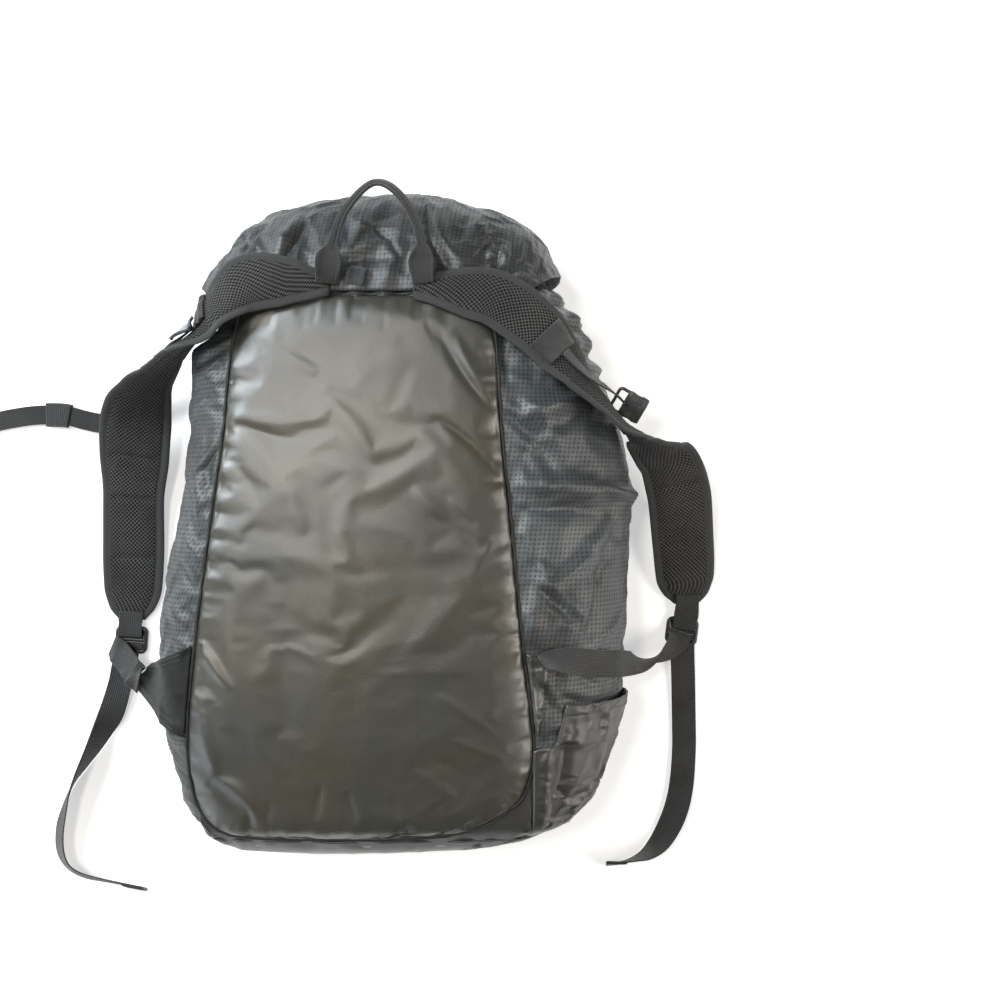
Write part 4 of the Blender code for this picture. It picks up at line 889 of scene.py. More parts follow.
def panel_outline(count):
    """Points round the panel, counterclockwise from its lower left, at equal distances."""
    y = np.linspace(0, 1, 400) ** 1.7 * (PANEL_ROWS[-1][0] - PANEL_ROWS[0][0]) * PACK_LENGTH + PANEL_BOTTOM
    left, right = panel_sides(y)
    loop = np.concatenate([np.stack([right, y], 1), np.stack([left, y], 1)[::-1]])
    loop = np.concatenate([loop, loop[:1]])
    length = run_of(loop)
    return read_at(np.linspace(0, length[-1], count, endpoint=False), length, loop), length[-1] / count


def nearest(points, line):
    """Distance of each point to a line of points, and the index of the nearest one."""
    flat = points.reshape(-1, 2)
    found = [np.linalg.norm(part[:, None] - line, axis=-1) for part in np.array_split(flat, 40)]
    away = np.concatenate([part.min(axis=1) for part in found])
    index = np.concatenate([part.argmin(axis=1) for part in found])
    return away.reshape(points.shape[:-1]), index.reshape(points.shape[:-1])


def closed_sheet(name, low, high, finish, uv):
    """A closed sheet between two grids, the high one outside: each row goes over and back under."""
    grid = np.concatenate([high, low[:, ::-1]], axis=1)
    uv = np.concatenate([uv, uv[:, ::-1], uv[:, :1]], axis=1)
    return surface(name, grid, finish, around=True, uv=uv, caps=True)


satin = nylon_material("satin_back_nylon", SATIN_COLOUR, SATIN_COOL, 0.38, 0.10)

station = np.linspace(0, 1, PANEL_STATIONS)
panel_length = (PANEL_ROWS[-1][0] - PANEL_ROWS[0][0]) * PACK_LENGTH
panel_y = PANEL_BOTTOM + panel_length * (0.82 * station + 0.18 * station**2.6)
left, right = panel_sides(panel_y)
x = left[:, None] + (right - left)[:, None] * np.linspace(0, 1, PANEL_POINTS)
plan = paired(x, panel_y)
outline, outline_pitch = panel_outline(900)
inward, nearest_place = nearest(plan, outline)
seam_place = nearest_place * outline_pitch
under = back_height(x, plan[..., 1]) + 2 * CLEARANCE
swell = PANEL_EDGE + PANEL_SWELL * (1 - np.exp(-inward / SWELL_REACH))
pucker = rumple(seam_place, 0 * x, PUCKER_PITCH, 41) + 0.7 * rumple(seam_place, 0 * x, 0.4 * PUCKER_PITCH, 42)
pucker = PUCKER_DEPTH * pucker * np.exp(-inward / PUCKER_REACH) * eased(0, 0.002, inward)
slack = PANEL_FOLD_SHARE * folded(x, plan[..., 1], PANEL_FOLDS) + 0.0004 * rumple(x, plan[..., 1], 0.055, 43)
slack += 0.0002 * wrinkled(x, plan[..., 1], 0.05, 45)
panel_z = np.maximum(under + swell + pucker + slack * eased(0, 0.012, inward), under + CLEARANCE)
edge_wave = PUCKER_SHIFT * rumple(seam_place, 0 * x, 0.5 * PUCKER_PITCH, 46) * np.exp(-inward / 0.005)
toward = unit(plan - outline[nearest_place])
panel_top = np.dstack([plan + toward * edge_wave[..., None] * (inward > 1e-5)[..., None], panel_z])
held = inward < 0.0015
panel_top = crumpled(panel_top, held, PANEL_SLACK, PANEL_BEND, PANEL_CAP, PANEL_PRESSURE)
panel_top[..., 2] = np.maximum(panel_top[..., 2], under + CLEARANCE)
panel_low = np.dstack([plan, under])
back_panel = closed_sheet("back_panel_pad", panel_low, panel_top, satin, plan)
dressed(back_panel, "smooth_nylon", "back_panel")
ground.add(panel_top)


# The piping: a thin cord in a dark cloth tape, sewn into the seam all round the back panel. It is a
# tube of rings that lies on the bag's cloth beside the panel's edge, a little uneven from the sewing.

PIPING_COLOUR = (0.012, 0.012, 0.012, 1)
PIPING_WORN = (0.024, 0.025, 0.024, 1)
PIPING_POINTS = 720
PIPING_SIDES = 10
PIPING_SINK = -0.1  # its middle's height over the cloth, a share of its radius
PIPING_UNEVEN = 0.10  # how much its radius varies
PIPING_WANDER = 0.0005  # how far it wanders off its line sideways
PIPING_WAVE = 0.0004  # how far it wanders up and down


def cord_grid(centre, side, radius, sides):
    """Rings of points round a line, standing on its side directions and the upright."""
    angle = -np.arange(sides) * math.tau / sides
    upright = np.array([0, 0, 1.0])
    ring = side[:, None] * np.cos(angle)[:, None] + upright * np.sin(angle)[:, None]
    return centre[:, None] + ring * radius[:, None, None]


loop, loop_pitch = panel_outline(PIPING_POINTS)
ahead = unit(np.roll(loop, -1, axis=0) - np.roll(loop, 1, axis=0))
outward = np.stack([ahead[:, 1], -ahead[:, 0]], axis=1)
run = np.arange(PIPING_POINTS) * loop_pitch
loop = loop + outward * (PIPING_RADIUS + CLEARANCE)
radius = PIPING_RADIUS * (1 + PIPING_UNEVEN * rumple(run, 0 * run, 0.006, 51))
rise = ground.heights(loop)
rise = np.minimum(rise, back_height(loop[:, 0], loop[:, 1]) + 0.001) + PIPING_SINK * PIPING_RADIUS
rise += PIPING_WAVE * rumple(run, 0 * run, 0.014, 53)
loop += outward * PIPING_WANDER * rumple(run, 0 * run, 0.011, 52)[:, None]
line = np.column_stack([loop, rise])
piping_grid = cord_grid(line, np.column_stack([outward, 0 * run]), radius, PIPING_SIDES)
turn = np.linspace(0, math.tau * PIPING_RADIUS, PIPING_SIDES + 1)
piping_uv = np.stack(np.broadcast_arrays(turn[None], np.append(run, run[-1] + loop_pitch)[:, None]), axis=-1)
piping_cloth = nylon_material("piping_tape", PIPING_COLOUR, PIPING_WORN, 0.60, 0.03, gloss=0.4)
piping = surface("panel_piping_tape", piping_grid, piping_cloth, around=True, along=True, uv=piping_uv)
dressed(piping, "smooth_nylon", "panel_piping")
ground.add(ringed(piping_grid), (2, 2))


# The lid: one hood of the same ripstop, sewn on past the piping, that turns down over the mouth and
# back under to its hem. The cloth is crumpled, and creases run in from where the handle pulls it.

LID_REACH = 0.1095  # how far the lid stands out past the back panel
LID_COLUMNS = ("sewn_x", "sewn_drop", "reach_x", "reach", "front_x", "front")
LID_ROWS = (
    (-0.310, -0.030, -0.392, 0.150, -0.340, 0.120),
    (-0.282, 0.000, -0.334, 0.470, -0.290, 0.300),
    (-0.215, 0.000, -0.262, 0.770, -0.215, 0.470),
    (-0.110, 0.000, -0.112, 0.935, -0.100, 0.570),
    (-0.015, 0.000, 0.030, 1.000, 0.020, 0.590),
    (0.080, 0.000, 0.150, 0.915, 0.130, 0.560),
    (0.160, 0.000, 0.259, 0.775, 0.215, 0.460),
    (0.215, 0.000, 0.320, 0.600, 0.275, 0.340),
    (0.268, -0.010, 0.364, 0.250, 0.330, 0.220),
)
LID_SIDE = 0.41
LID_HEM = 0.045
LID_COUNT, LID_OVER, LID_UNDER = 250, 60, 18
LID_FOLDS = (
    (-70, 284, -92, 235, 0, 5, -5.0),
    (-80, 287, -97, 244, 0, 7, 3.4),
    (-124, 265, -129, 249, 0, 4, -2.4),
    (-114, 268, -78, 259, 0, 8, 2.2),
    (-11, 276, 17, 291, 4, 7, -3.8),
    (-11, 276, 12, 257, 0, 3.5, -3.4),
    (-32, 298, -15, 272, 0, 12, 2.6),
    (-39, 250, 8, 259, 0, 4, 3.0),
    (-41, 240, 13, 244, 0, 5, -3.8),
    (7, 259, 19, 242, 0, 3, -2.2),
    (40, 302, 66, 227, -8, 5, -4.6),
    (53, 298, 73, 238, -8, 8, 3.2),
    (102, 267, 82, 242, 3, 3, -3.6),
    (108, 250, 104, 231, 0, 3, -3.4),
    (102, 259, 99, 244, 0, 4, 2.8),
    (111, 259, 116, 238, 0, 4, 2.0),
    (140, 238, 146, 224, 0, 4, -2.6),
    (132, 244, 135, 227, 0, 4, 1.8),
    (120, 282, 121, 231, 0, 1.4, -1.2),
    (81, 288, 96, 268, 0, 9, 1.8),
)
LID_FOLD_SHARE = 1.05
LID_WRINKLE = 0.0015
LID_SLACK = 0.020
LID_BEND = 0.8
LID_CAP = 0.0045
LID_DARK = (0.017, 0.018, 0.018, 1)
LID_LIGHT = (0.036, 0.040, 0.042, 1)


def outward_of(grid):
    """Directions off a grid's outer face: along its columns crossed with along its rows."""
    return unit(np.cross(np.gradient(grid, axis=1), np.gradient(grid, axis=0)))


def grid_lengths(grid):
    """Distance across and along a grid from its first column and row, as a UV map in metres."""
    across = np.cumsum(np.linalg.norm(np.diff(grid, axis=1, prepend=grid[:, :1]), axis=-1), axis=1)
    down = np.cumsum(np.linalg.norm(np.diff(grid, axis=0, prepend=grid[:1]), axis=-1), axis=0)
    return np.stack([across - across.mean(axis=1, keepdims=True), down], axis=-1)


def evened(values, times):
    """A row of numbers with each replaced by the mean of its neighbours, some times over."""
    for _ in range(times):
        values = np.concatenate([values[:1], (values[:-2] + values[2:]) / 2, values[-1:]])
    return values


share = np.linspace(0, 1, LID_COUNT)
knots = np.linspace(0, 1, len(LID_ROWS))
sewn_x, drop, reach_x, reach, front_x, front = (
    through(knots, column(LID_ROWS, LID_COLUMNS, name), share) for name in LID_COLUMNS
)
lid_line = PANEL_ROWS[-1][0] * PACK_LENGTH + 2 * PIPING_RADIUS + 5 * CLEARANCE
lid_wave = 0.0015 * rumple(share, 0 * share, 0.06, 61)
sewn = np.stack([sewn_x * PACK_WIDTH, lid_line + drop * PACK_LENGTH], axis=1)
far = np.stack([reach_x * PACK_WIDTH, lid_line + reach * LID_REACH + lid_wave], axis=1)
hem = np.stack([front_x * PACK_WIDTH, lid_line + front * LID_REACH], axis=1)
sewn_z = evened(ground.heights(sewn), 12) + 6 * CLEARANCE + THIN_CLOTH
over = np.linspace(0, math.pi / 2, LID_OVER)[:, None]
below = np.linspace(0, math.pi / 2, LID_UNDER + 1)[1:, None]
side, low = LID_SIDE * PACK_DEPTH, LID_HEM * PACK_DEPTH
lid_plan = np.concatenate([
    sewn + (far - sewn) * np.sin(over)[..., None],
    hem + (far - hem) * np.cos(below)[..., None],
])
lid_z = np.concatenate([
    side + (sewn_z - side) * np.cos(over),
    low + (side - low) * (1 - np.sin(below)) + 0 * share,
])
lid_shape = np.dstack([lid_plan, lid_z])
x, y = lid_plan[..., 0], lid_plan[..., 1]
lid_uv = grid_lengths(lid_shape)
topside = np.concatenate([1 + 0 * over, np.cos(below)])
loose = eased(0, 0.012, lid_uv[..., 1])
lid_relief = LID_FOLD_SHARE * loose * topside * folded(x, y, LID_FOLDS)
lid_relief += LID_WRINKLE * loose * wrinkled(lid_uv[..., 0], lid_uv[..., 1], 0.042, 63)
lid_relief += 0.4 * LID_WRINKLE * loose * wrinkled(1.5 * lid_uv[..., 0], 0.7 * lid_uv[..., 1], 0.020, 67)
lid_shape = lid_shape + outward_of(lid_shape) * lid_relief[..., None]
held = np.zeros(lid_z.shape, bool)
held[:3] = held[-3:] = held[:, :2] = held[:, -2:] = True
lid_shape = crumpled(lid_shape, held, LID_SLACK, LID_BEND, LID_CAP)
lid_cloth = ripstop_material("lid_cloth", LID_DARK, LID_LIGHT, 0.22)
top_lid = surface("top_lid_cloth", lid_shape, lid_cloth, uv=lid_uv)
dressed(walled(top_lid, THIN_CLOTH), "ripstop", "top_lid")
ground.add(lid_shape)


# The pocket on the right side: smooth nylon sewn over the ripstop, held at its bottom and both
# sides. Its hem stands off the body, so the pocket is open at the top.

POCKET_BULGE = 0.0060
POCKET_GAP = 5 * CLEARANCE
POCKET_STATIONS = 80
POCKET_POINTS = 64
POCKET_HEM = 0.009  # width of the turned hem
POCKET_SLACK = 0.04
POCKET_CAP = 0.006
POCKET_SEAM = -0.206  # y below which the bag's own cloth is the pocket's smooth nylon
POCKET_FOLDS = (
    (184, -192, 215, -194, 3, 5, 2.6),
    (192, -168, 196, -179, 0, 4, -2.4),
    (203, -183, 209, -188, 0, 5, -1.5),
    (162, -186, 147, -234, 0, 6, 2.4),
    (171, -205, 156, -262, 0, 8, -2.0),
    (194, -210, 166, -267, 0, 14, 1.8),
)
POCKET_COLOUR = (0.034, 0.030, 0.024, 1)
POCKET_COOL = (0.030, 0.031, 0.028, 1)

GREY_THREAD = (0.13, 0.128, 0.12)
STITCH_PITCH = 0.0034
STITCH_LENGTH = 0.0024
STITCH_RADIUS = 0.0003
STITCH_RINGS = ((-0.5, 0.3), (-0.3, 1.0), (0.3, 1.0), (0.5, 0.3))  # share of its length, of its radius
STITCH_SIDES = 5


def stitched(name, lines, finish, slot):
    """Stitches along lines of points, each given with the directions off the cloth there. A stitch is
    a small spindle of four rings, half sunk in the cloth."""
    kept = []
    for line, off in lines:
        run = run_of(line)
        at = np.arange(STITCH_PITCH / 2, run[-1], STITCH_PITCH)
        kept.append([read_at(at, run, values) for values in (line, unit(np.gradient(line, axis=0)), off)])
    centre, ahead, out = (np.concatenate(values)[:, None, None] for values in zip(*kept))
    across = unit(np.cross(ahead, out))
    place, thick = (np.array(STITCH_RINGS) * (STITCH_LENGTH, STITCH_RADIUS)).T[..., None, None]
    angle = (np.arange(STITCH_SIDES) * math.tau / STITCH_SIDES)[:, None]
    points = centre + ahead * place + (across * np.cos(angle) + unit(out) * np.sin(angle)) * thick
    rings = len(STITCH_RINGS)
    quads = np.roll(grid_quads((rings, STITCH_SIDES), around=True)[0][..., ::-1], 1, axis=-1).reshape(-1, 4)
    ends = np.array(end_caps(rings, STITCH_SIDES))[:, ::-1]
    first = (np.arange(len(points)) * rings * STITCH_SIDES)[:, None, None]
    faces = (first + quads).reshape(-1, 4).tolist() + (first + ends).reshape(-1, STITCH_SIDES).tolist()
    return dressed(mesh_object(name, points, faces, finish), slot)


def thread_material(name, colour):
    """Twisted thread: darker in the turns of its twist."""
    made, tree, inputs = new_material(name, colour, 0.55)
    dark = tuple(0.55 * c for c in colour)
    feed(tree, [inputs["Base Color"]], [blended(tree, noise(tree, 2400.0), (*dark, 1), (*colour, 1))])
    return made


bottom, hem_y = POCKET["bottom"] * PACK_LENGTH, POCKET["hem"] * PACK_LENGTH
pocket_y = np.linspace(bottom, hem_y, POCKET_STATIONS)
share = (pocket_y - bottom) / (hem_y - bottom)
inner = pocket_edge(share)
picked = slice(TOP_COUNT - 1, TOP_COUNT + SIDE_COUNT + SIDE_COUNT // 4)
close, proud = (body_grid(pocket_y, POCKET_GAP + more)[0][:, picked] for more in (0.0, POCKET_BULGE))
reach = np.cumsum(np.linalg.norm(np.diff(close, axis=1, prepend=close[:, :1]), axis=-1), axis=1)
puff = np.sin(np.linspace(0, math.pi, POCKET_POINTS))
pocket_rows = []
for row_inner, row_share, row_reach, row_close, row_proud in zip(inner, share, reach, close, proud):
    start = np.interp(row_inner, row_close[:SIDE_COUNT, 0], row_reach[:SIDE_COUNT])
    at = np.linspace(start, row_reach[-1], POCKET_POINTS)
    away = (puff * row_share**2)[:, None]
    near, far = (read_at(at, row_reach, edge) for edge in (row_close, row_proud))
    pocket_rows.append(near * (1 - away) + far * away)
pocket_shape = np.array(pocket_rows)
pocket_uv = grid_lengths(pocket_shape)
from_hem = hem_y - pocket_shape[..., 1]
relief = folded(pocket_shape[..., 0], pocket_shape[..., 1], POCKET_FOLDS)
relief += 0.0012 * wrinkled(pocket_uv[..., 0], pocket_uv[..., 1], 0.035, 71)
relief *= eased(0, 0.02, pocket_shape[..., 1] - bottom) * puff
relief = np.maximum(relief, -0.5 * POCKET_GAP - 0.8 * POCKET_BULGE * puff * share[:, None] ** 2)
relief += 0.0007 * (1 - eased(POCKET_HEM - 0.001, POCKET_HEM + 0.001, from_hem))
pocket_shape = pocket_shape + outward_of(pocket_shape) * (relief + THIN_CLOTH)[..., None]
held = np.zeros(relief.shape, bool)
held[:3] = held[:, :3] = held[:, -3:] = held[-1:, ::3] = True
pocket_shape = crumpled(pocket_shape, held, POCKET_SLACK, SIDE_BEND, POCKET_CAP)
pocket_cloth = nylon_material("pocket_nylon", POCKET_COLOUR, POCKET_COOL, 0.46, 0.25)
pocket = surface("side_pocket_cloth", pocket_shape, pocket_cloth, uv=pocket_uv)
dressed(walled(pocket, THIN_CLOTH), "smooth_nylon", "side_pocket_right")
ground.add(pocket_shape)
bag_body.data.materials.append(pocket_cloth)
rows_below = int((body_y < POCKET_SEAM).sum())
nylon_faces = np.arange(len(bag_body.data.polygons)) < rows_below * body_shape.shape[1]
bag_body.data.polygons.foreach_set("material_index", nylon_faces.astype(int))
grey_thread = thread_material("grey_thread", GREY_THREAD)
pocket_off = outward_of(pocket_shape)
hem_row = np.abs(pocket_y - (hem_y - POCKET_HEM)).argmin()
stitched("pocket_hem_stitches", [
    (pocket_shape[row, 2:-2], pocket_off[row, 2:-2]) for row in (hem_row, hem_row + 1)
], grey_thread, "smooth_nylon")


# The shoulder straps: foam between two faces of spacer mesh, bound all round with woven tape. Each
# turns over half way, so its lower half shows the face that lies on the shoulder, with its bar tacks.

PAD_WIDTH = 0.066
PAD_THICKNESS = 0.0090
STRAP_COLUMNS = ("x", "y", "width", "thickness", "roll", "lift")
STRAP_LEFT = (
    (-0.100, 0.370, 0.30, 0.45, 0, 0.00),
    (-0.140, 0.372, 0.50, 0.70, 0, 0.00),
    (-0.190, 0.375, 0.74, 0.95, 0, 0.00),
    (-0.265, 0.370, 0.90, 1.00, 0, 0.00),
    (-0.332, 0.326, 0.90, 1.00, 14, 0.010),
    (-0.359, 0.304, 0.86, 1.00, 34, 0.010),
    (-0.398, 0.286, 0.82, 1.00, 62, 0.010),
    (-0.425, 0.276, 0.80, 1.00, 76, 0.00),
    (-0.469, 0.256, 0.80, 1.00, 92, 0.00),
    (-0.511, 0.232, 0.82, 1.00, 112, 0.00),
    (-0.541, 0.201, 0.96, 1.00, 138, 0.00),
    (-0.559, 0.162, 1.04, 1.00, 160, 0.00),
    (-0.571, 0.116, 1.06, 1.00, 174, 0.00),
    (-0.583, 0.036, 0.96, 1.00, 180, 0.00),
    (-0.588, -0.053, 0.97, 1.00, 180, 0.00),
    (-0.591, -0.120, 0.92, 0.95, 180, 0.00),
    (-0.594, -0.157, 0.72, 0.80, 180, 0.00),
    (-0.595, -0.178, 0.42, 0.50, 180, 0.00),
)
STRAP_RIGHT = (
    (0.066, 0.362, 0.26, 0.45, 0, 0.00),
    (0.112, 0.363, 0.50, 0.70, 0, 0.00),
    (0.178, 0.357, 0.78, 0.95, 0, 0.00),
    (0.235, 0.346, 0.86, 1.00, 2, 0.00),
    (0.308, 0.305, 0.88, 1.00, 6, 0.00),
    (0.350, 0.267, 0.88, 1.00, 12, 0.00),
    (0.405, 0.219, 0.86, 1.00, 30, 0.00),
    (0.448, 0.185, 0.84, 1.00, 52, 0.00),
    (0.482, 0.156, 0.82, 1.00, 74, 0.00),
    (0.522, 0.135, 0.80, 1.00, 96, 0.00),
    (0.562, 0.115, 0.84, 1.00, 122, 0.00),
    (0.592, 0.097, 0.90, 1.00, 146, 0.00),
    (0.614, 0.062, 0.95, 1.00, 166, 0.00),
    (0.628, 0.025, 0.97, 1.00, 176, 0.00),
    (0.643, -0.050, 0.96, 1.00, 180, 0.00),
    (0.650, -0.100, 0.92, 0.95, 180, 0.00),
    (0.655, -0.130, 0.72, 0.80, 180, 0.00),
    (0.657, -0.148, 0.42, 0.50, 180, 0.00),
)
STRAP_STEPS = 35  # steps between the stations that the keepers, rails and slider are placed by
FINE = 8  # rows of points to a step
BINDING = 0.0085
BINDING_HALF = 0.0023
FOAM_ROUND = 0.0055
TACKS = {"left": (0.655, 0.745, 0.87), "right": (0.715, 0.835, 0.853)}  # shares of the strap's length
TACK_DEPTH = 0.0020
TACK_WIDTH = 0.0035
SETTLE_ROUNDS = 9
STITCH_INSET = 0.0066  # how far in from the strap's edge the binding is sewn down
TOUCH_PROFILE = (
    (-0.5, 0.0), (-0.43, -0.42), (-0.36, -0.5), (-0.2, -0.5), (0.0, -0.5), (0.2, -0.5), (0.36, -0.5),
    (0.43, -0.42), (0.5, 0.0), (0.43, 0.42), (0.36, 0.5), (0.0, 0.5), (-0.36, 0.5), (-0.43, 0.42),
)  # where a band is tested against what lies under it
MESH_COLOUR = (0.150, 0.145, 0.142, 1)
MESH_WORN = (0.100, 0.097, 0.096, 1)
# The mesh's hole colour below is near black: painted shade inside the holes.
MESH_HOLE_SHADE = (0.001, 0.001, 0.001, 1)
BINDING_COLOUR = (0.060, 0.061, 0.061, 1)
STRAP_THREAD = (0.085, 0.085, 0.084)
HOLE_PITCH = 0.0042


def smooth_path(points, count):
    """Catmull-Rom curve through the points, read again at equal distances."""
    points = np.asarray(points, float)
    padded = np.concatenate([[2 * points[0] - points[1]], points, [2 * points[-1] - points[-2]]])
    t = np.linspace(0, 1, 16, endpoint=False)[:, None]
    a, b, c, d = (padded[k : len(padded) - 3 + k, None] for k in range(4))
    fine = 0.5 * (2 * b + (c - a) * t + (2 * a - 5 * b + 4 * c - d) * t**2 + (3 * b - a - 3 * c + d) * t**3)
    fine = np.concatenate([fine.reshape(-1, points.shape[1]), points[-1:]])
    run = run_of(fine)
    return read_at(np.linspace(0, run[-1], count), run, fine)


class Ribbon:
    """A flat band along a plan route, laid on the pieces under it, which may turn over on its way.

    It leans with the slope under it, sinks until it touches, and bridges hollows like a taut band.
    Side is 1 where the band's second edge lies left of its direction and -1 where it lies right.
    """

    def __init__(self, plan, side, width, thickness, roll, lift, settle):
        ahead = unit(np.gradient(plan, axis=0))
        across = side * np.stack([-ahead[:, 1], ahead[:, 0]], axis=1)
        roll = np.radians(roll)
        offsets = np.linspace(-0.5, 0.5, 15)
        reach = offsets * (width * np.cos(roll))[:, None]
        tops = ground.heights(plan[:, None] + across[:, None] * reach[..., None])
        from_middle = reach - reach.mean(axis=1, keepdims=True)
        slope = (from_middle * tops).sum(axis=1) / np.maximum((from_middle**2).sum(axis=1), 1e-9)
        lean = np.clip(np.where(np.ptp(reach, axis=1) > 0.004, slope, 0), -1, 1) * np.cos(roll) ** 2
        near = max(2, len(plan) // 16)
        lean = np.convolve(np.pad(lean, near, "edge"), np.full(2 * near + 1, 1 / (2 * near + 1)), "valid")
        turn = roll + np.arctan(lean) * np.sign(np.cos(roll))
        self.width, self.thickness, self.side = width, thickness, side
        flat = np.column_stack([across, np.zeros(len(plan))])
        self.tilt = flat * np.cos(turn)[:, None] + np.array([0, 0, 1]) * np.sin(turn)[:, None]
        rise = offsets * (width * np.sin(turn))[:, None]
        need = (tops - rise).max(axis=1) + thickness / 2 + CLEARANCE + lift
        for _ in range(SETTLE_ROUNDS):
            z = need
            for _ in range(settle):
                z = np.concatenate([z[:1], np.maximum(need[1:-1], (z[:-2] + z[2:]) / 2), z[-1:]])
            self.place(np.column_stack([plan, z]))
            touch = np.array(TOUCH_PROFILE)
            points = self.points(touch[:, 0], self.thickness[:, None] * touch[:, 1])
            short = (ground.heights(points) + CLEARANCE - points[..., 2]).max(axis=1)
            need = np.maximum(need, z + np.clip(short, 0, None))

    def place(self, centre):
        """Sets the middle line, the directions at each of its points and the distance along it."""
        self.centre = centre
        self.forward = unit(np.gradient(centre, axis=0))
        lengthwise = (self.tilt * self.forward).sum(axis=1, keepdims=True)
        self.wide = unit(self.tilt - self.forward * lengthwise)
        self.out = self.side * np.cross(self.forward, self.wide)
        self.run = run_of(centre)

    def points(self, across, height, rows=slice(None)):
        """Points at shares of the width across and at heights off the middle."""
        sideways = self.wide[rows, None] * (self.width[rows, None] * across)[..., None]
        return self.centre[rows, None] + sideways + self.out[rows, None] * height[..., None]


def lay(rows, columns, side, width, thickness, count, lift_scale=PACK_DEPTH, settle=60):
    """The Ribbon of a table of places, sizes and turns. Its columns end with the rows' last one."""
    columns = columns[: len(rows[0])]
    places = np.stack([column(rows, columns, "x") * PACK_WIDTH, column(rows, columns, "y") * PACK_LENGTH], 1)
    knots = run_of(places)
    at = np.linspace(0, 1, count) * knots[-1]
    read = {name: through(knots, column(rows, columns, name), at) for name in columns[2:]}
    wide, thick = (read.get(name, 1.0) * np.full(count, size) for name, size in
                   (("width", width), ("thickness", thickness)))
    roll, lift = (read.get(name, np.zeros(count)) for name in ("roll", "lift"))
    return Ribbon(smooth_path(places, count), side, wide, thick, roll, lift * lift_scale, settle)


def band_grid(ribbon, across, over, below):
    """Rings round a band: its outer face at the heights over, and back along its inner face."""
    shares = np.concatenate([across, across[-2:0:-1]])
    heights = np.concatenate([over, -below[:, -2:0:-1]], axis=1)
    rings = ribbon.points(shares, heights)
    return rings[:, ::-1] if ribbon.side > 0 else rings


def banded(name, ribbon, rings, finish):
    """A closed band over its rings, with its UV map round it and along it."""
    uv = paired(around_lengths(rings), ribbon.run)
    return surface(name, rings, finish, around=True, uv=uv, caps=True)


def across_line(ribbon, across, row, height, face):
    """A line of stitches across one row of a band, and the directions off that face."""
    line = ribbon.points(across, height, np.array([row]))[0]
    return line, face * ribbon.out[row] + 0 * line


def pad_face(ribbon, across, rows, seed):
    """Half thickness of a pad: a rounded binding at its edge, and foam that rises inside it."""
    from_side = (0.5 - np.abs(across)) * ribbon.width[rows, None]
    edge = np.minimum(from_side, (ribbon.run[-1] - ribbon.run[rows])[:, None] + 0.0004)
    bead = BINDING_HALF * np.sqrt(np.clip(1 - (2 * edge / BINDING - 1) ** 2, 0, 1))
    full = ribbon.thickness[rows, None] / 2
    foam = full * (1 - np.exp(-np.clip(edge - 0.55 * BINDING, 0, None) / FOAM_ROUND))
    place = across * ribbon.width[rows, None] + 0 * edge
    run = ribbon.run[rows, None] + 0 * edge
    slack = 0.0007 * rumple(place, run, 0.022, seed) + 0.0005 * wrinkled(place, run, 0.024, seed + 1)
    slack *= eased(BINDING, 2 * BINDING, edge) * eased(0, PAD_THICKNESS, 2 * full)
    return np.maximum(np.minimum(bead, full), foam) + slack, edge


def mesh_cloth_material():
    """Spacer mesh with round holes in diagonal rows, painted near black as the shade inside them, and the
    woven binding along the edge, with painted shade between its threads.
    """
    made, tree, inputs = new_material(
        "spacer_mesh_cloth", MESH_COLOUR, 0.85, Sheen_Weight=0.03, Sheen_Roughness=0.5, Specular_IOR_Level=0.3
    )
    drifted = use(tree, colour_drift, MESH_COLOUR, MESH_WORN, 0.05, 0.45)
    lattice = maths(tree, "MULTIPLY", *(
        maths(tree, "COSINE", maths(tree, "MULTIPLY", place, math.tau / HOLE_PITCH))
        for place in place_parts(tree, "UV")[:2]
    ))
    holes = wire(tree, "ShaderNodeMapRange", lattice, -0.04, 0.10, 0.0, 1.0)
    edge = tree.nodes.new("ShaderNodeAttribute")
    edge.attribute_name = "edge"
    inside = wire(tree, "ShaderNodeMapRange", edge.outputs["Fac"], BINDING - 0.0006, BINDING, 0.0, 1.0)
    threads = use(tree, plain_weave, 0.0010, 0.0010)
    # The holes are painted near black: painted shade in their depth. The binding is painted darker between
    # its threads: painted shade of its weave.
    holed = blended(tree, holes, drifted["Colour"], MESH_HOLE_SHADE)
    bound = shaded(tree, BINDING_COLOUR, maths(tree, "MULTIPLY_ADD", threads["Shade"], 0.35, 0.80))
    net = maths(tree, "MULTIPLY", inside, maths(tree, "SUBTRACT", 1.0, holes))
    rough = maths(tree, "MULTIPLY_ADD", inside, 0.20, 0.62)
    height = maths(tree, "MULTIPLY_ADD", threads["Height"], 0.15, net)
    finished(tree, inputs, blended(tree, inside, bound, holed), rough, height, 1.0, 0.0012)
    return made


def strap_grid(ribbon, side_name, seed):
    """The pad's rings, with a dent on its inner face at each bar tack, and the distance to its edge."""
    across = 0.5 * np.sin(np.linspace(-1, 1, 43) * math.pi / 2)
    rows = np.arange(len(ribbon.run))
    over, edge = pad_face(ribbon, across[None], rows, seed)
    below, edge = pad_face(ribbon, across[None], rows, seed + 7)
    share = ribbon.run / ribbon.run[-1]
    dents = sum(np.exp(-(((share - place) * ribbon.run[-1] / TACK_WIDTH) ** 2)) for place in TACKS[side_name])
    below = below - TACK_DEPTH * dents[:, None] * eased(BINDING, 1.6 * BINDING, edge)
    rings = band_grid(ribbon, across, over, below)
    distance = np.concatenate([edge, edge[:, -2:0:-1]], axis=1)
    return rings, distance[:, ::-1] if ribbon.side > 0 else distance


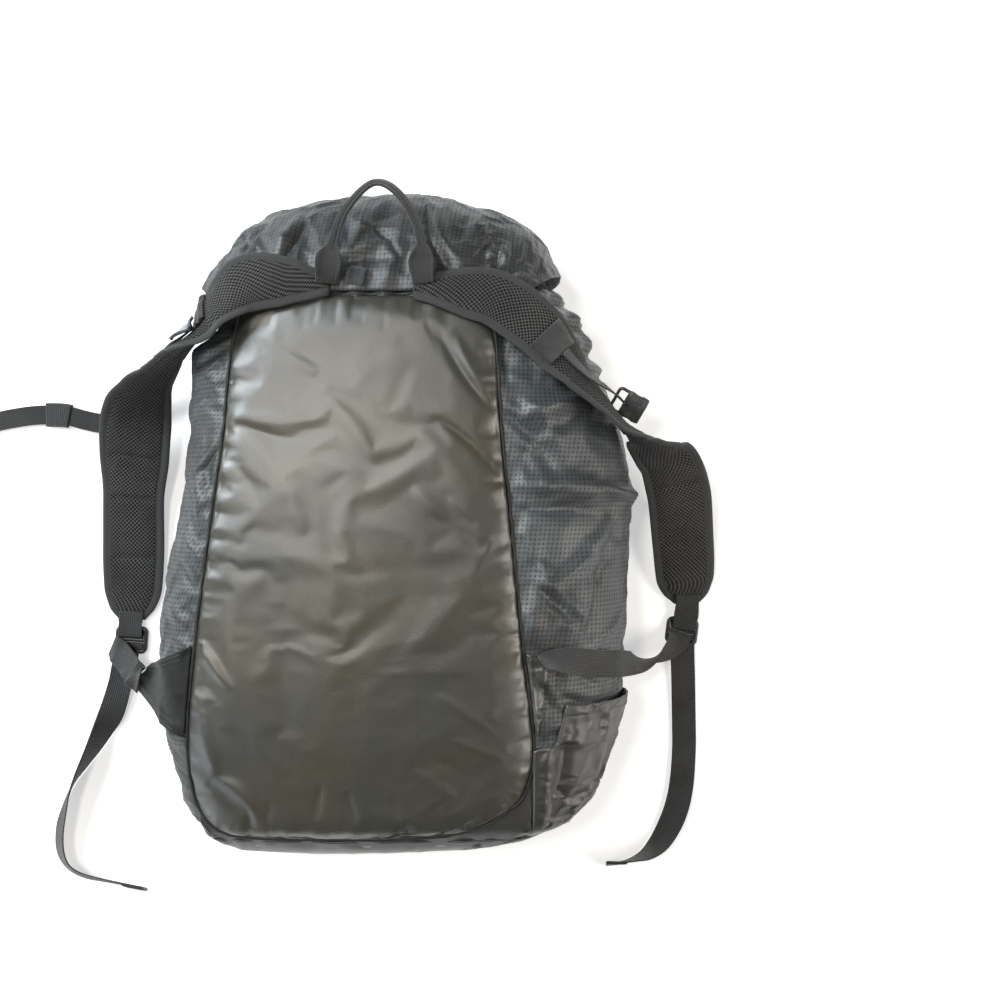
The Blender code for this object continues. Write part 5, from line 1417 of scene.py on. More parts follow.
mesh_cloth = mesh_cloth_material()
strap_thread = thread_material("strap_thread", STRAP_THREAD)
straps = {}
for side_name, rows, side, seed in (("left", STRAP_LEFT, 1, 81), ("right", STRAP_RIGHT, -1, 91)):
    ribbon = lay(rows, STRAP_COLUMNS, side, PAD_WIDTH, PAD_THICKNESS, STRAP_STEPS * FINE + 1, settle=300)
    strap_rings, distance = strap_grid(ribbon, side_name, seed)
    strap = banded(f"strap_{side_name}_pad", ribbon, strap_rings, mesh_cloth)
    strap.data.attributes.new("edge", "FLOAT", "POINT").data.foreach_set("value", distance.ravel())
    dressed(strap, "spacer_mesh", f"strap_{side_name}")
    ground.add(ringed(strap_rings), (4, 3))
    straps[side_name] = ribbon
    seam_lines = []
    rows = np.arange(int(0.12 * len(ribbon.run)), int(0.96 * len(ribbon.run)))
    for edge_side in (-1, 1):
        across = edge_side * (0.5 - STITCH_INSET / ribbon.width[rows, None])
        for face, face_seed in ((1, seed), (-1, seed + 7)):
            height = face * pad_face(ribbon, across, rows, face_seed)[0]
            seam_lines.append((ribbon.points(across, height, rows)[:, 0], face * ribbon.out[rows]))
    across = np.linspace(-0.36, 0.36, 40)[None]
    for place in TACKS[side_name]:
        for row in np.abs(ribbon.run / ribbon.run[-1] - place).argmin() + np.array([-1, 1]):
            height = TACK_DEPTH * 0.9 - pad_face(ribbon, across, np.array([row]), seed + 7)[0]
            seam_lines.append(across_line(ribbon, across, row, height, -1))
    stitched(f"strap_{side_name}_stitches", seam_lines, strap_thread, "webbing")


# The keepers and rails: a band of webbing sewn across each strap, and a narrow webbing after it that
# the chest strap slides along. The buckle pulls the right one off the strap.

WEBBING_NARROW = 0.020
RAIL_WEBBING = 0.012
WEBBING_THICKNESS = 0.0016
RAIL_RISE = {"left": 0.002, "right": 0.010}  # the slider weighs the left rail down
LOOP_RISE = {"left": 0.0028, "right": 0.0}  # the left band is folded to a loop of two ridges
BAND = {"left": (9, 10), "right": (10, 12)}
BAND_ACROSS = {"left": (-0.495, 0.12), "right": (-0.36, 0.36)}
RAIL_COLUMNS = ("across", "proud")
RAIL = {
    "left": (10, ((0.04, 0.02), (0.04, 0.25), (0.04, 0.25), (0.04, 0.02))),
    "right": (12, ((0.00, 0.08), (0.02, 0.14), (0.02, 0.20), (-0.02, 0.30), (-0.15, 0.46), (-0.30, 0.70),
                   (-0.40, 1.00))),
}
WEBBING_COLOUR = (0.060, 0.060, 0.060, 1)
WEBBING_DARK = (0.040, 0.040, 0.041, 1)


def webbing_material(name, colour, other, across, lengthwise):
    """Woven nylon webbing: ribs along it and finer picks across, with painted shade that is darker between
    the threads and lighter on the high ones.
    """
    made, tree, inputs = new_material(name, colour, 0.62, Sheen_Weight=0.30, Sheen_Roughness=0.4)
    drifted = use(tree, colour_drift, colour, other, 0.04, 0.35)
    threads = use(tree, plain_weave, across, lengthwise)["Height"]
    # Painted shade: the colour follows the threads' height, darker between them.
    coloured = shaded(tree, drifted["Colour"], maths(tree, "MULTIPLY_ADD", threads, 0.85, 0.50))
    finished(tree, inputs, coloured, maths(tree, "MULTIPLY_ADD", threads, -0.12, 0.70), threads, 0.9, 0.0006)
    return made


def on_strap(name, ribbon, stations, across, proud, thickness, seed, finish):
    """A band on a strap's outer face between two of its stations, bent to that face.

    Across holds, for each row, the shares of the strap's width that it spans.
    """
    rows = np.arange(stations[0] * FINE, stations[1] * FINE + 1)
    face = pad_face(ribbon, across, rows, seed)[0] + 2 * CLEARANCE + proud
    low, high = (ribbon.points(across, face + more, rows) for more in (0.0, thickness))
    if ribbon.side > 0:
        low, high = low[:, ::-1], high[:, ::-1]
    return closed_sheet(name, low, high, finish, grid_lengths(high))


webbing = webbing_material("woven_webbing", WEBBING_COLOUR, WEBBING_DARK, 0.0042, 0.0034)
narrow_webbing = webbing_material("narrow_webbing", WEBBING_COLOUR, WEBBING_DARK, 0.0030, 0.0026)
for side_name, seed in (("left", 81), ("right", 91)):
    ribbon = straps[side_name]
    first, last = BAND[side_name]
    across = np.broadcast_to(np.linspace(*BAND_ACROSS[side_name], 40), ((last - first) * FINE + 1, 40))
    lobes = np.abs(np.sin(math.tau * np.linspace(0, 1, across.shape[0])))[:, None] ** 0.5
    keeper = on_strap(f"strap_keeper_{side_name}_web", ribbon, BAND[side_name], across, 0.0,
                      WEBBING_THICKNESS + LOOP_RISE[side_name] * lobes, seed, narrow_webbing)
    dressed(keeper, "webbing", f"strap_keeper_{side_name}")
    first, rail_rows = RAIL[side_name]
    knots = np.arange(len(rail_rows))
    fine = np.linspace(0, knots[-1], knots[-1] * FINE + 1)
    middle, proud = (
        through(knots, column(rail_rows, RAIL_COLUMNS, name), fine)[:, None] for name in RAIL_COLUMNS
    )
    across = middle + np.linspace(-0.5, 0.5, 13) * RAIL_WEBBING / PAD_WIDTH
    rail = on_strap(f"strap_rail_{side_name}_web", ribbon, (first, first + knots[-1]), across,
                    proud * RAIL_RISE[side_name], WEBBING_THICKNESS, seed, narrow_webbing)
    dressed(rail, "webbing", f"strap_rail_{side_name}")


# The chest strap's slider: a bowed plate of glossy moulded plastic with rounded corners and a raised
# rim. It clips over the left rail and lies on the shoulder strap.

SLIDER = (10, 12)  # the strap's steps that it lies between
SLIDER_ACROSS = 0.04  # where its middle lies, a share of the strap's width
SLIDER_WIDTH = 0.030
SLIDER_THICKNESS = 0.003
SLIDER_BOW = 0.0015
SLIDER_GAP = 0.0007
SLIDER_LEAN = 0.002  # how far its outer side stands off more than its inner one
SLIDER_CROWN = 0.0012
SLIDER_RIM = 0.0009
SLIDER_COLOUR = (0.075, 0.098, 0.115)
BLACK_COLOUR = (0.022, 0.022, 0.024)
BUCKLE_COLOUR = (0.050, 0.052, 0.052)


def plastic_material(name, colour, roughness, scratches, coat=0.15):
    """Moulded plastic: a fine grain, scuffs that catch the light, and a little dust in them."""
    made, tree, inputs = new_material(name, colour, roughness, Coat_Weight=coat, Coat_Roughness=0.12)
    worn = wire(tree, "ShaderNodeMapRange", noise(tree, 160.0, 4.0, 0.7), 0.52, 0.75, 0.0, 1.0)
    lighter = tuple(2.2 * c + 0.01 for c in colour)
    finished(tree, inputs, blended(tree, worn, (*colour, 1), (*lighter, 1)),
             maths(tree, "MULTIPLY_ADD", worn, scratches, roughness), noise(tree, 2600.0), 0.15, 0.0002)
    return made


slider_plastic = plastic_material("glossy_plastic", SLIDER_COLOUR, 0.18, 0.12, coat=0.8)
black_plastic = plastic_material("moulded_plastic", BLACK_COLOUR, 0.40, 0.20)
buckle_plastic = plastic_material("buckle_plastic", BUCKLE_COLOUR, 0.42, 0.20)
steps = np.linspace(-1, 1, (SLIDER[1] - SLIDER[0]) * FINE + 1)[:, None]
corner = (1 - 0.995 * np.abs(steps) ** 5) ** 0.2
wide_share = np.linspace(-1, 1, 25)
across = SLIDER_ACROSS + corner * np.linspace(-0.5, 0.5, 25) * SLIDER_WIDTH / PAD_WIDTH
proud = 0.25 * RAIL_RISE["left"] + WEBBING_THICKNESS + SLIDER_GAP + SLIDER_BOW * np.cos(steps * math.pi / 2)
proud = proud + SLIDER_LEAN * (1 - wide_share) / 2 + SLIDER_CROWN * (1 - wide_share**2)
rim = SLIDER_RIM * eased(0.80, 0.95, np.maximum(np.abs(steps), np.abs(wide_share)))
slider = on_strap("sternum_slider_plate", straps["left"], SLIDER, across, proud,
                  SLIDER_THICKNESS - SLIDER_RIM + rim, 81, slider_plastic)
dressed(slider, "buckle_plastic", "sternum_slider_left")


# The chest strap's socket, beside the right strap: a flat plastic housing that is open at its lower
# end, and a round bar frame at its upper end that the rail goes through.

BUCKLE = (0.5015, 0.193, -28, 0.585)  # x, y, turn in degrees and height
BUCKLE_LENGTH = 0.032
BUCKLE_THICKNESS = 0.0085
BUCKLE_WALL = 0.0035
BUCKLE_SLOT = 0.007
BUCKLE_TILT = 30
BAR_RADIUS = 0.0016
BAR_SIDES = 12
TUBE_SIDES = 40
TUBE_SQUARE = 0.4


def joined(name, grids, finish):
    """One mesh over several grids of rings, each given with whether it is joined end to end. The
    others are capped."""
    points, faces, start = [], [], 0
    for grid, end_to_end in grids:
        faces += (grid_quads(grid.shape, True, end_to_end)[0].reshape(-1, 4) + start).tolist()
        faces += [] if end_to_end else end_caps(*grid.shape[:2], start)
        points.append(grid.reshape(-1, 3))
        start += len(points[-1])
    made = mesh_object(name, np.concatenate(points), faces, finish)
    made.data.set_sharp_from_angle(angle=math.radians(50))
    return made


def rounded_tube(*rings):
    """Rings along y from their y, half width and half height, each a superellipse: sine and cosine
    raised to the power TUBE_SQUARE."""
    angle = np.arange(TUBE_SIDES) * math.tau / TUBE_SIDES
    c, s = np.cos(angle), np.sin(angle)
    shape_x, shape_z = np.sign(c) * np.abs(c) ** TUBE_SQUARE, np.sign(s) * np.abs(s) ** TUBE_SQUARE
    y, half_width, half_height = (np.asarray(ring, float)[:, None] + 0 * angle for ring in rings)
    return np.stack([half_width * shape_x, y, half_height * shape_z], axis=-1)[:, ::-1]


def bar(path, radius_across, radius_up, closed=False):
    """Rings of an oval bar along a path that lies flat in x and y."""
    path = np.asarray(path, float)
    ahead = np.roll(path, -1, axis=0) - np.roll(path, 1, axis=0) if closed else np.gradient(path, axis=0)
    ahead = unit(ahead)
    across = np.stack([ahead[:, 1], -ahead[:, 0], 0 * ahead[:, 0]], axis=1)
    angle = -np.arange(BAR_SIDES)[:, None] * math.tau / BAR_SIDES
    up = np.array([0, 0, radius_up]) * np.sin(angle)
    return path[:, None] + across[:, None] * np.cos(angle) * radius_across + up


def turned(points, place, turn, tilt=0.0):
    """Points tilted about y, then turned about the upright and moved, angles in degrees."""
    a, b = math.radians(tilt), math.radians(turn)
    x = points[..., 0] * math.cos(a) + points[..., 2] * math.sin(a)
    z = -points[..., 0] * math.sin(a) + points[..., 2] * math.cos(a)
    y = points[..., 1]
    return np.stack([x * math.cos(b) - y * math.sin(b), x * math.sin(b) + y * math.cos(b), z], -1) + place


def rounded_loop(half_width, half_length, corner, count):
    """A rounded rectangle in the plane: the corner's circle carried to each of the four corners, and
    read again at equal distances."""
    angle = np.arange(count) * math.tau / count + math.pi / count
    x = np.sign(np.cos(angle)) * (half_width - corner) + corner * np.cos(angle)
    y = np.sign(np.sin(angle)) * (half_length - corner) + corner * np.sin(angle)
    loop = np.column_stack([x, y, 0 * x])
    loop = np.concatenate([loop, loop[:1]])
    run = run_of(loop)
    return read_at(np.linspace(0, run[-1], count, endpoint=False), run, loop)


x, y, turn, height = BUCKLE
half_width = WEBBING_NARROW / 2 + BUCKLE_WALL
shoulder, mouth = -BUCKLE_LENGTH / 2 + BUCKLE_WALL + BUCKLE_SLOT, BUCKLE_LENGTH / 2
share = np.array([0, 0.03, 0.10, 0.25, 0.45, 0.60, 0.72, 0.85, 0.95, 1.0])
wide = half_width * np.array([0.88, 0.97, 1.0, 0.98, 0.93, 0.95, 1.0, 0.99, 0.96, 0.92])
tall = 0.5 * BUCKLE_THICKNESS * np.array([0.60, 0.78, 0.90, 1.0, 1.0, 0.98, 0.95, 0.92, 0.86, 0.78])
fine = np.linspace(0, 1, 40)
length = shoulder + (mouth - shoulder) * fine
housing = rounded_tube(length, through(share, wide, fine), through(share, tall, fine))
top_side = housing[..., 2] > 0
edge_line = np.exp(-(((housing[..., 0] + 0.0050) / 0.0008) ** 2))
slope = eased(-0.0055, -0.0135, housing[..., 0])
housing[..., 2] += (0.0007 * edge_line - 0.0022 * slope) * top_side * eased(0.05, 0.2, fine)[:, None]
well = rounded_tube([mouth, mouth - 0.0002, mouth - 0.009], half_width * np.array([0.80, 0.76, 0.70]),
                    0.5 * BUCKLE_THICKNESS * np.array([0.55, 0.50, 0.42]))
housing = np.concatenate([housing, well])
half_frame = np.array([
    (half_width - BAR_RADIUS, shoulder + 0.003, 0), (half_width - BAR_RADIUS, shoulder - 0.002, 0),
    (half_width - BAR_RADIUS, -mouth + 0.004, 0), (half_width - 0.004, -mouth + BAR_RADIUS, 0),
])
frame_path = smooth_path([*half_frame * (-1, 1, 1), (0, -mouth + BAR_RADIUS, 0), *half_frame[::-1]], 60)
frame_bar = bar(frame_path, BAR_RADIUS, 1.3 * BAR_RADIUS)
place = np.array([x * PACK_WIDTH, y * PACK_LENGTH, height * PACK_DEPTH])
buckle = joined("sternum_buckle_socket", [
    (turned(tube, place, turn - 90, BUCKLE_TILT), False) for tube in (housing, frame_bar)
], buckle_plastic)
dressed(buckle, "buckle_plastic", "sternum_buckle_right")


# The loose half of the chest strap: narrow webbing from its slider down to the floor and out to a
# plain clip, with an elastic keeper round it that holds spare webbing.

WEBBING_COLUMNS = ("x", "y", "roll", "lift")
STERNUM = (
    (-0.490, 0.2715, 0, 0.362),
    (-0.528, 0.242, 0, 0.11),
    (-0.568, 0.210, 0, 0.04),
    (-0.614, 0.188, 0, 0.02),
    (-0.651, 0.173, 0, 0.018),
    (-0.696, 0.178, 0, 0.018),
    (-0.735, 0.186, 0, 0.018),
    (-0.770, 0.188, 0, 0.018),
    (-0.814, 0.187, 0, 0.03),
    (-0.867, 0.181, 0, 0.02),
    (-0.915, 0.173, 0, 0.02),
)
STERNUM_STEPS = 18
STERNUM_KEEPER = (11, 13)  # the steps that the keeper lies between
STERNUM_CLIP_LENGTH = 0.034
ELASTIC_THICKNESS = 0.0011
ELASTIC_COLOUR = (0.105, 0.107, 0.107, 1)
ELASTIC_DARK = (0.080, 0.081, 0.082, 1)
EDGE_ROUND = 0.0008


def web_across(count=17):
    """Shares of a band's width, closer together near its edges."""
    return 0.5 * np.sin(np.linspace(-1, 1, count) * math.pi / 2)


def web_face(ribbon, across, more=0.0):
    """Half thickness of webbing, rounded over its edges."""
    edge = (0.5 - np.abs(across)) * ribbon.width[:, None]
    rounding = np.sqrt(np.clip(1 - (1 - edge / EDGE_ROUND).clip(0, 1) ** 2, 0, 1))
    return (ribbon.thickness[:, None] / 2 + more) * rounding


def web_piece(name, ribbon, finish, node, under=0.0):
    """Webbing along a Ribbon, with a height added to its inner face."""
    across = web_across()
    rings = band_grid(ribbon, across, web_face(ribbon, across), web_face(ribbon, across, under))
    dressed(banded(name, ribbon, rings, finish), "webbing", node)
    return rings


straps_ground, ground = ground, Ground()
sternum = lay(STERNUM, WEBBING_COLUMNS, 1, WEBBING_NARROW, WEBBING_THICKNESS, STERNUM_STEPS * FINE + 1,
              settle=120)
ground = straps_ground
web_piece("sternum_webbing_loose", sternum, narrow_webbing, "sternum_webbing")
rows = np.arange(STERNUM_KEEPER[0] * FINE, STERNUM_KEEPER[1] * FINE + 1)
loop = rounded_loop(WEBBING_NARROW / 2 + 4 * CLEARANCE + ELASTIC_THICKNESS,
                    WEBBING_THICKNESS / 2 + 2 * CLEARANCE + ELASTIC_THICKNESS, 0.0012, 36)
bulge = 1 + 0.02 * np.cos(np.linspace(-1, 1, len(rows)) * math.pi / 2)
shares, heights = loop[:, 0] / WEBBING_NARROW, loop[:, 1]
outer = sternum.points(bulge[:, None] * shares, bulge[:, None] * heights, rows)[:, ::-1]
shrink = np.array([1 - ELASTIC_THICKNESS / np.abs(loop[:, 0]).max(), 1 - ELASTIC_THICKNESS / heights.max()])
inner_loop = sternum.points(shares[None] * shrink[0], heights[None] * shrink[1], rows)[:, ::-1]
tube = np.concatenate([outer, inner_loop[::-1]])
elastic = webbing_material("ribbed_elastic", ELASTIC_COLOUR, ELASTIC_DARK, 0.0012, 0.0030)
turn_round = np.arange(len(loop) + 1) * 0.0013
lengthwise = np.arange(len(tube) + 1) * 0.0012
keeper = surface("sternum_keeper_elastic", tube, elastic, around=True, along=True,
                 uv=np.stack(np.meshgrid(turn_round, lengthwise), axis=-1))
dressed(keeper, "webbing", "sternum_keeper")

ahead = unit(sternum.forward[-1] * (1, 1, 0))
centre = sternum.centre[-1] + ahead * (STERNUM_CLIP_LENGTH / 2 + 2 * CLEARANCE)
share = np.linspace(-1, 1, 60)
end_round = (1 - 0.98 * np.abs(share) ** 8) ** 0.5
wide = (WEBBING_NARROW + BUCKLE_WALL) / 2 * end_round * (1 - 0.07 * np.exp(-((share / 0.35) ** 2)))
tall = BUCKLE_THICKNESS / 2 * (1 - 0.98 * np.abs(share) ** 6) ** 0.5
clip = rounded_tube(share * STERNUM_CLIP_LENGTH / 2, wide, tall)
ribs = sum(np.exp(-(((share - at) / 0.035) ** 2)) for at in (-0.30, -0.15, 0.0, 0.15, 0.30))
clip[..., 2] -= 0.0006 * ribs[:, None] * (clip[..., 2] > 0) * (np.abs(clip[..., 0]) < 0.008)
place = np.array([centre[0], centre[1], BUCKLE_THICKNESS / 2 + CLEARANCE])
clip = turned(clip, place, math.degrees(math.atan2(-ahead[0], ahead[1])))
clip = joined("sternum_clip_end", [(clip, False)], black_plastic)
dressed(clip, "buckle_plastic", "sternum_clip")


# The ladder locks: an oval-sectioned frame and a middle bar of black plastic at each strap's end,
# with the webbing that runs through its two slots and over the bar.

# x, y and turn in degrees of each lock
LOCKS = {"left": (-0.596, -0.214, -4), "right": (0.645, -0.199, -7)}
LOCK_WIDTH = 0.034
LOCK_LENGTH = 0.029
LOCK_THICKNESS = 0.0050
LOCK_BAR = 0.0045
SLOT_WEB_RISE = 0.0014  # how high the webbing in a slot starts, beside the middle bar

for side_name, (x, y, turn) in LOCKS.items():
    place = np.array([x * PACK_WIDTH, y * PACK_LENGTH, LOCK_THICKNESS / 2 + CLEARANCE])
    loop = rounded_loop((LOCK_WIDTH - LOCK_BAR) / 2, (LOCK_LENGTH - LOCK_BAR) / 2, 0.0045, 96)
    around_bar = bar(loop, LOCK_BAR / 2, LOCK_THICKNESS / 2, closed=True)
    middle_bar = bar([(t * (LOCK_WIDTH / 2 - LOCK_BAR), 0, 0) for t in np.linspace(-1.05, 1.05, 24)],
                     LOCK_BAR / 2, 0.42 * LOCK_THICKNESS)
    lock = joined(f"ladder_lock_{side_name}_frame", [
        (turned(around_bar, place, turn), True), (turned(middle_bar, place, turn), False),
    ], black_plastic)
    dressed(lock, "buckle_plastic", f"ladder_lock_{side_name}")
    into_slot = np.linspace(0, 1, 14)[:, None]
    from_bar = LOCK_BAR / 2 + (LOCK_LENGTH / 2 - 1.4 * LOCK_BAR) * into_slot
    across = (LOCK_WIDTH / 2 - LOCK_BAR) * np.linspace(-0.98, 0.98, 24) + 0 * into_slot
    height = SLOT_WEB_RISE * (1 - 1.7 * into_slot) + 0 * across
    for slot_name, end in (("upper", 1), ("lower", -1)):
        middle = np.dstack([end * across, end * from_bar + 0 * across, height])
        low, high = (turned(middle + (0, 0, k * WEBBING_THICKNESS / 2), place, turn) for k in (-1, 1))
        web = closed_sheet(f"lock_webbing_{side_name}_{slot_name}", low, high, webbing, grid_lengths(high))
        dressed(web, "webbing")
    low, high = (np.array(corner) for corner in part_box(f"ladder_lock_{side_name}"))
    flat_x, flat_y = np.meshgrid(np.linspace(low[0], high[0], 30), np.linspace(low[1], high[1], 30))
    ground.add(np.dstack([flat_x, flat_y, 0 * flat_x + high[2]]))


# The wide webbing: a short run from each pad to its lock, the loose tails with their turned and
# sewn ends, the wings of doubled nylon on the panel's seam, and the lower webbing from them.

WEBBING_WIDE = 0.025
PAD_WEBBING_LEFT = ((-0.594, -0.164), (-0.596, -0.190), (-0.597, -0.208))
PAD_WEBBING_RIGHT = ((0.657, -0.134), (0.654, -0.165), (0.648, -0.194))
TAIL_LEFT = (
    (-0.603, -0.2345, 0), (-0.611, -0.262, 0), (-0.618, -0.290, 0), (-0.635, -0.340, 18),
    (-0.654, -0.374, 50), (-0.675, -0.408, 70), (-0.700, -0.443, 88), (-0.724, -0.479, 108),
    (-0.739, -0.516, 122), (-0.749, -0.552, 130), (-0.748, -0.588, 132), (-0.732, -0.614, 128),
    (-0.700, -0.630, 124), (-0.646, -0.640, 119), (-0.560, -0.653, 116),
)
TAIL_RIGHT = (
    (0.645, -0.2195, 0), (0.646, -0.250, 0), (0.648, -0.287, 0), (0.650, -0.359, 0),
    (0.650, -0.413, 0), (0.643, -0.475, 8), (0.627, -0.523, 24), (0.598, -0.565, 48),
    (0.568, -0.588, 76), (0.539, -0.599, 98), (0.509, -0.606, 110), (0.472, -0.608, 116),
)
LOWER_LEFT = (
    (-0.540, -0.275, 0, 0.000),
    (-0.579, -0.254, 0, 0.020),
    (-0.611, -0.237, 0, 0.000),
    (-0.636, -0.223, 0, 0.000),
)
LOWER_RIGHT = (
    (0.318, -0.214, 66, 0.00),
    (0.348, -0.213, 44, 0.00),
    (0.386, -0.216, 16, 0.00),
    (0.437, -0.226, 0, 0.00),
    (0.482, -0.232, 14, 0.00),
    (0.530, -0.240, 62, 0.00),
    (0.575, -0.240, 110, 0.02),
    (0.610, -0.230, 150, 0.02),
    (0.632, -0.214, 172, 0.01),
    (0.640, -0.198, 180, 0.00),
)
TAIL_HEM = 0.020
HEM_ROWS = (2, 5, 8)  # rows from a tail's end that its hem is sewn along
WING_LEFT = {"seam": (-0.190, -0.335), "tip": ((-0.526, -0.252), (-0.569, -0.285)), "height": 0.20}
WING_RIGHT = {"seam": (-0.205, -0.330), "tip": ((0.328, -0.212), (0.312, -0.318)), "height": 0.86}
WING_WALL = 0.0016
WING_HEM = 0.008
WING_STITCHES = (2, 5, -6, -3)  # columns of the wing's mesh that are sewn, two near each free edge
# The left wing's two colours are the wing nylon painted near black as painted shade, and lighter patches of
# it painted as sheen; the right wing has that nylon lit.
WING_SHADED_COLOUR = (0.012, 0.012, 0.012, 1)
WING_SHADED_SHEEN = (0.018, 0.019, 0.018, 1)

for name, rows, side, count, settle in (
    ("pad_webbing_left", PAD_WEBBING_LEFT, 1, 31, 20),
    ("pad_webbing_right", PAD_WEBBING_RIGHT, -1, 31, 20),
    ("webbing_tail_left", TAIL_LEFT, -1, 156, 60),
    ("webbing_tail_right", TAIL_RIGHT, 1, 136, 60),
):
    ribbon = lay(rows, WEBBING_COLUMNS, side, WEBBING_WIDE, WEBBING_THICKNESS, count, settle=settle)
    from_end = ribbon.run[-1] - ribbon.run
    hem = WEBBING_THICKNESS * eased(TAIL_HEM + 0.0015, TAIL_HEM, from_end) * ("tail" in name)
    rings = web_piece(f"{name}_woven", ribbon, webbing, name, under=hem[:, None])
    ground.add(ringed(rings), (3, 3))
    if "tail" in name:
        across = np.linspace(-0.44, 0.44, 30)[None]
        hem_lines = []
        for row in len(ribbon.run) - 1 - np.array(HEM_ROWS):
            for face, proud in ((1, 0.0), (-1, hem[row])):
                height = face * (WEBBING_THICKNESS / 2 + proud) + 0 * across
                hem_lines.append(across_line(ribbon, across, row, height, face))
        stitched(f"{name}_stitches", hem_lines, strap_thread, "webbing")


def make_wing(side_name, wing, side, finish):
    """Doubled cloth from the panel's seam to the webbing: the higher of the bag's side under it and
    a straight ramp between both ends, evened out, with a thicker turned hem along its free edges."""
    seam_y = np.array(wing["seam"]) * PACK_LENGTH
    left, right = panel_sides(seam_y)
    beside = 2 * PIPING_RADIUS + 3 * CLEARANCE
    seam = np.stack([(left - beside) if side < 0 else (right + beside), seam_y], axis=1)
    tip = np.array(wing["tip"]) * (PACK_WIDTH, PACK_LENGTH)
    out, down = np.linspace(0, 1, 44)[:, None, None], np.linspace(0, 1, 44)[None, :, None]
    plan = (seam[0] * (1 - down) + seam[1] * down) * (1 - out) + (tip[0] * (1 - down) + tip[1] * down) * out
    tops = ground.heights(plan) + 3 * CLEARANCE
    ramp = tops[:1] + (wing["height"] * PACK_DEPTH - tops[:1]) * out[..., 0]
    low = np.maximum(tops, ramp)
    for _ in range(60):
        low[1:-1] = np.maximum(low[1:-1], (low[:-2] + low[2:]) / 2)
    grid = np.dstack([plan, low])
    if side < 0:
        grid = grid[:, ::-1]
    u, v = out[..., 0] + 0 * low, down[..., 0] + 0 * low
    width = np.linalg.norm(np.diff(grid, axis=1), axis=-1).sum(axis=1)[:, None]
    from_edge = np.minimum(v, 1 - v) * width
    crumple = 0.0006 * (1 + wrinkled(grid[..., 0], grid[..., 1], 0.022, 95 + side))
    hem = 0.0008 * (1 - eased(WING_HEM - 0.001, WING_HEM + 0.001, from_edge))
    wall = 0.0004 + (WING_WALL - 0.0004) * eased(0, 0.15, u)
    high = grid + outward_of(grid) * (wall + (crumple + hem) * eased(0, 0.15, u))[..., None]
    made = closed_sheet(f"wing_{side_name}_cloth", grid, high, finish, grid_lengths(high))
    dressed(made, "smooth_nylon", f"wing_{side_name}")
    ground.add(high)
    off = outward_of(high)
    stitched(f"wing_{side_name}_stitches", [
        (high[5:-1, column_at], off[5:-1, column_at]) for column_at in WING_STITCHES
    ], grey_thread, "smooth_nylon")


# The left wing's cloth is painted near black: painted shade. The right wing's cloth is the same nylon lit.
wing_cloth = nylon_material("wing_nylon", WING_SHADED_COLOUR, WING_SHADED_SHEEN, 0.55, 0.03, gloss=0.22)
right_wing_cloth = nylon_material("right_wing_nylon", POCKET_COLOUR, SATIN_COOL, 0.36, 0.40)
make_wing("left", WING_LEFT, -1, wing_cloth)
make_wing("right", WING_RIGHT, 1, right_wing_cloth)
for name, rows, count in (("lower_webbing_left", LOWER_LEFT, 45), ("lower_webbing_right", LOWER_RIGHT, 140)):
    ribbon = lay(rows, WEBBING_COLUMNS, -1, WEBBING_WIDE, WEBBING_THICKNESS, count)
    rings = web_piece(f"{name}_woven", ribbon, webbing, name)
    ground.add(ringed(rings), (3, 3))


# The grab handle: narrow webbing sewn at the panel's top. It is folded lengthwise over the arch and
# opens to a cupped leaf shape above each foot.

HANDLE_LIFT = 0.013
HANDLE_COLUMNS = ("x", "y", "width", "lift")
HANDLE_ROWS = (
    (-0.104, 0.372, 0.96, 0.0),
    (-0.101, 0.385, 1.04, 0.3),
    (-0.098, 0.402, 1.16, 0.8),
    (-0.093, 0.418, 0.84, 1.0),
    (-0.089, 0.434, 0.46, 1.0),
    (-0.075, 0.473, 0.44, 1.0),
    (-0.056, 0.498, 0.44, 1.2),
    (-0.034, 0.518, 0.46, 1.5),
    (-0.012, 0.529, 0.50, 1.8),
    (0.011, 0.527, 0.50, 1.8),
    (0.036, 0.512, 0.46, 1.5),
    (0.059, 0.486, 0.44, 1.2),
    (0.074, 0.460, 0.44, 1.0),
    (0.082, 0.434, 0.46, 1.0),
    (0.083, 0.418, 0.84, 1.0),
    (0.083, 0.402, 1.16, 0.8),
    (0.084, 0.385, 1.04, 0.3),
    (0.086, 0.372, 0.96, 0.0),
)
LEAF_CUP = 0.0035
LEAF_ROWS = 34  # rows of the handle's mesh from each foot to where its leaf closes
FOLD_SLIT = 0.0011

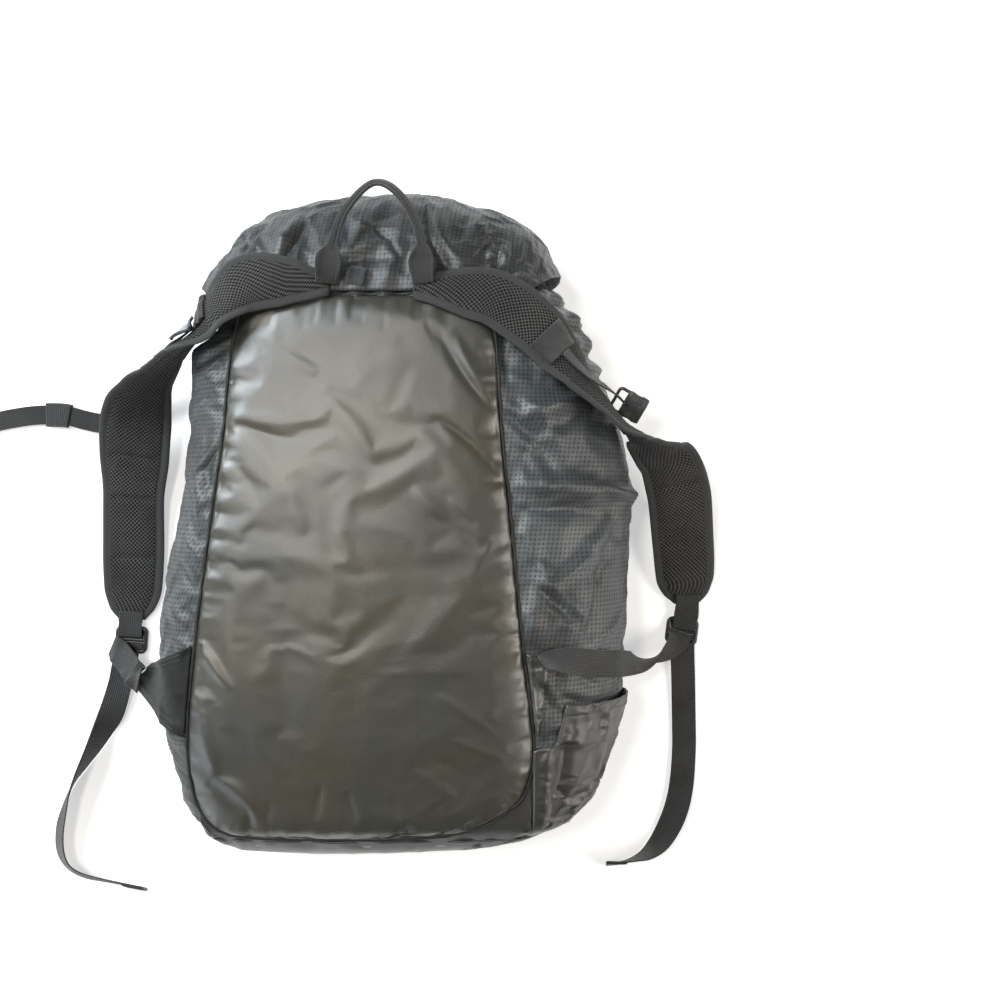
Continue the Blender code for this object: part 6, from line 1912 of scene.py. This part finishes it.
handle = lay(HANDLE_ROWS, HANDLE_COLUMNS, -1, WEBBING_NARROW, WEBBING_THICKNESS, 217, HANDLE_LIFT, 500)
across = web_across(25)
open_share = eased(0.55, 0.95, handle.width / WEBBING_NARROW)[:, None]
from_foot = np.minimum(handle.run, handle.run[-1] - handle.run)[:, None]
cup = LEAF_CUP * open_share * eased(0.004, 0.016, from_foot) * (2 * across) ** 2
folded_over = 1 - open_share
double = WEBBING_THICKNESS * 0.55 * folded_over
slit = FOLD_SLIT * folded_over * np.exp(-(((across - 0.12) / 0.07) ** 2))
over = web_face(handle, across, double) - slit + cup
below = web_face(handle, across, 0.3 * double) - cup
handle_rings = band_grid(handle, across, over, below)
grab_handle = banded("grab_handle_web", handle, handle_rings, narrow_webbing)
dressed(grab_handle, "webbing", "grab_handle")
leaf_lines = []
for rows in (np.arange(2, LEAF_ROWS), np.arange(LEAF_ROWS, 2, -1) * -1):
    for place in (-0.41, 0.41):
        share = np.full((len(rows), 1), place)
        height = (web_face(handle, share[:1], double) + cup[:, :1] * (2 * place) ** 2)[rows]
        leaf_lines.append((handle.points(share, height, rows)[:, 0], handle.out[rows]))
stitched("grab_handle_stitches", leaf_lines, grey_thread, "webbing")


# The hang tab: a short grey-blue woven tape, folded on itself and sewn into the panel's top seam
# between the handle's feet.

TAB_PLACE = (-0.046, 0.386)
TAB_TURN = 14
TAB_WIDTH = 0.015
TAB_LENGTH = 0.016
TAB_THICKNESS = 0.003
TAB_COLOUR = (0.105, 0.125, 0.145, 1)
TAB_DARK = (0.080, 0.095, 0.110, 1)

turn = math.radians(TAB_TURN)
ahead = np.array([math.sin(turn), math.cos(turn)])
plan = np.array(TAB_PLACE) * (PACK_WIDTH, PACK_LENGTH)
plan = plan + np.linspace(-0.5, 0.5, 25)[:, None] * TAB_LENGTH * ahead
level = np.zeros(25)
tab = Ribbon(plan, 1, level + TAB_WIDTH, level + TAB_THICKNESS, level, level, 20)
from_fold = (tab.run[-1] - tab.run)[:, None]
fold_round = np.sqrt(np.clip(1 - (1 - from_fold / 0.0022).clip(0, 1) ** 2, 0.01, 1))
across = web_across(19)
height = web_face(tab, across) * fold_round
uneven = 0.0004 * rumple(tab.run[:, None], 0 * across + across, 0.006, 99) * fold_round
tab_rings = band_grid(tab, across, height + uneven, height)
tab_cloth = webbing_material("tab_tape", TAB_COLOUR, TAB_DARK, 0.0008, 0.0008)
hang_tab = banded("hang_tab_tape", tab, tab_rings, tab_cloth)
dressed(hang_tab, "tab_cloth", "hang_tab")
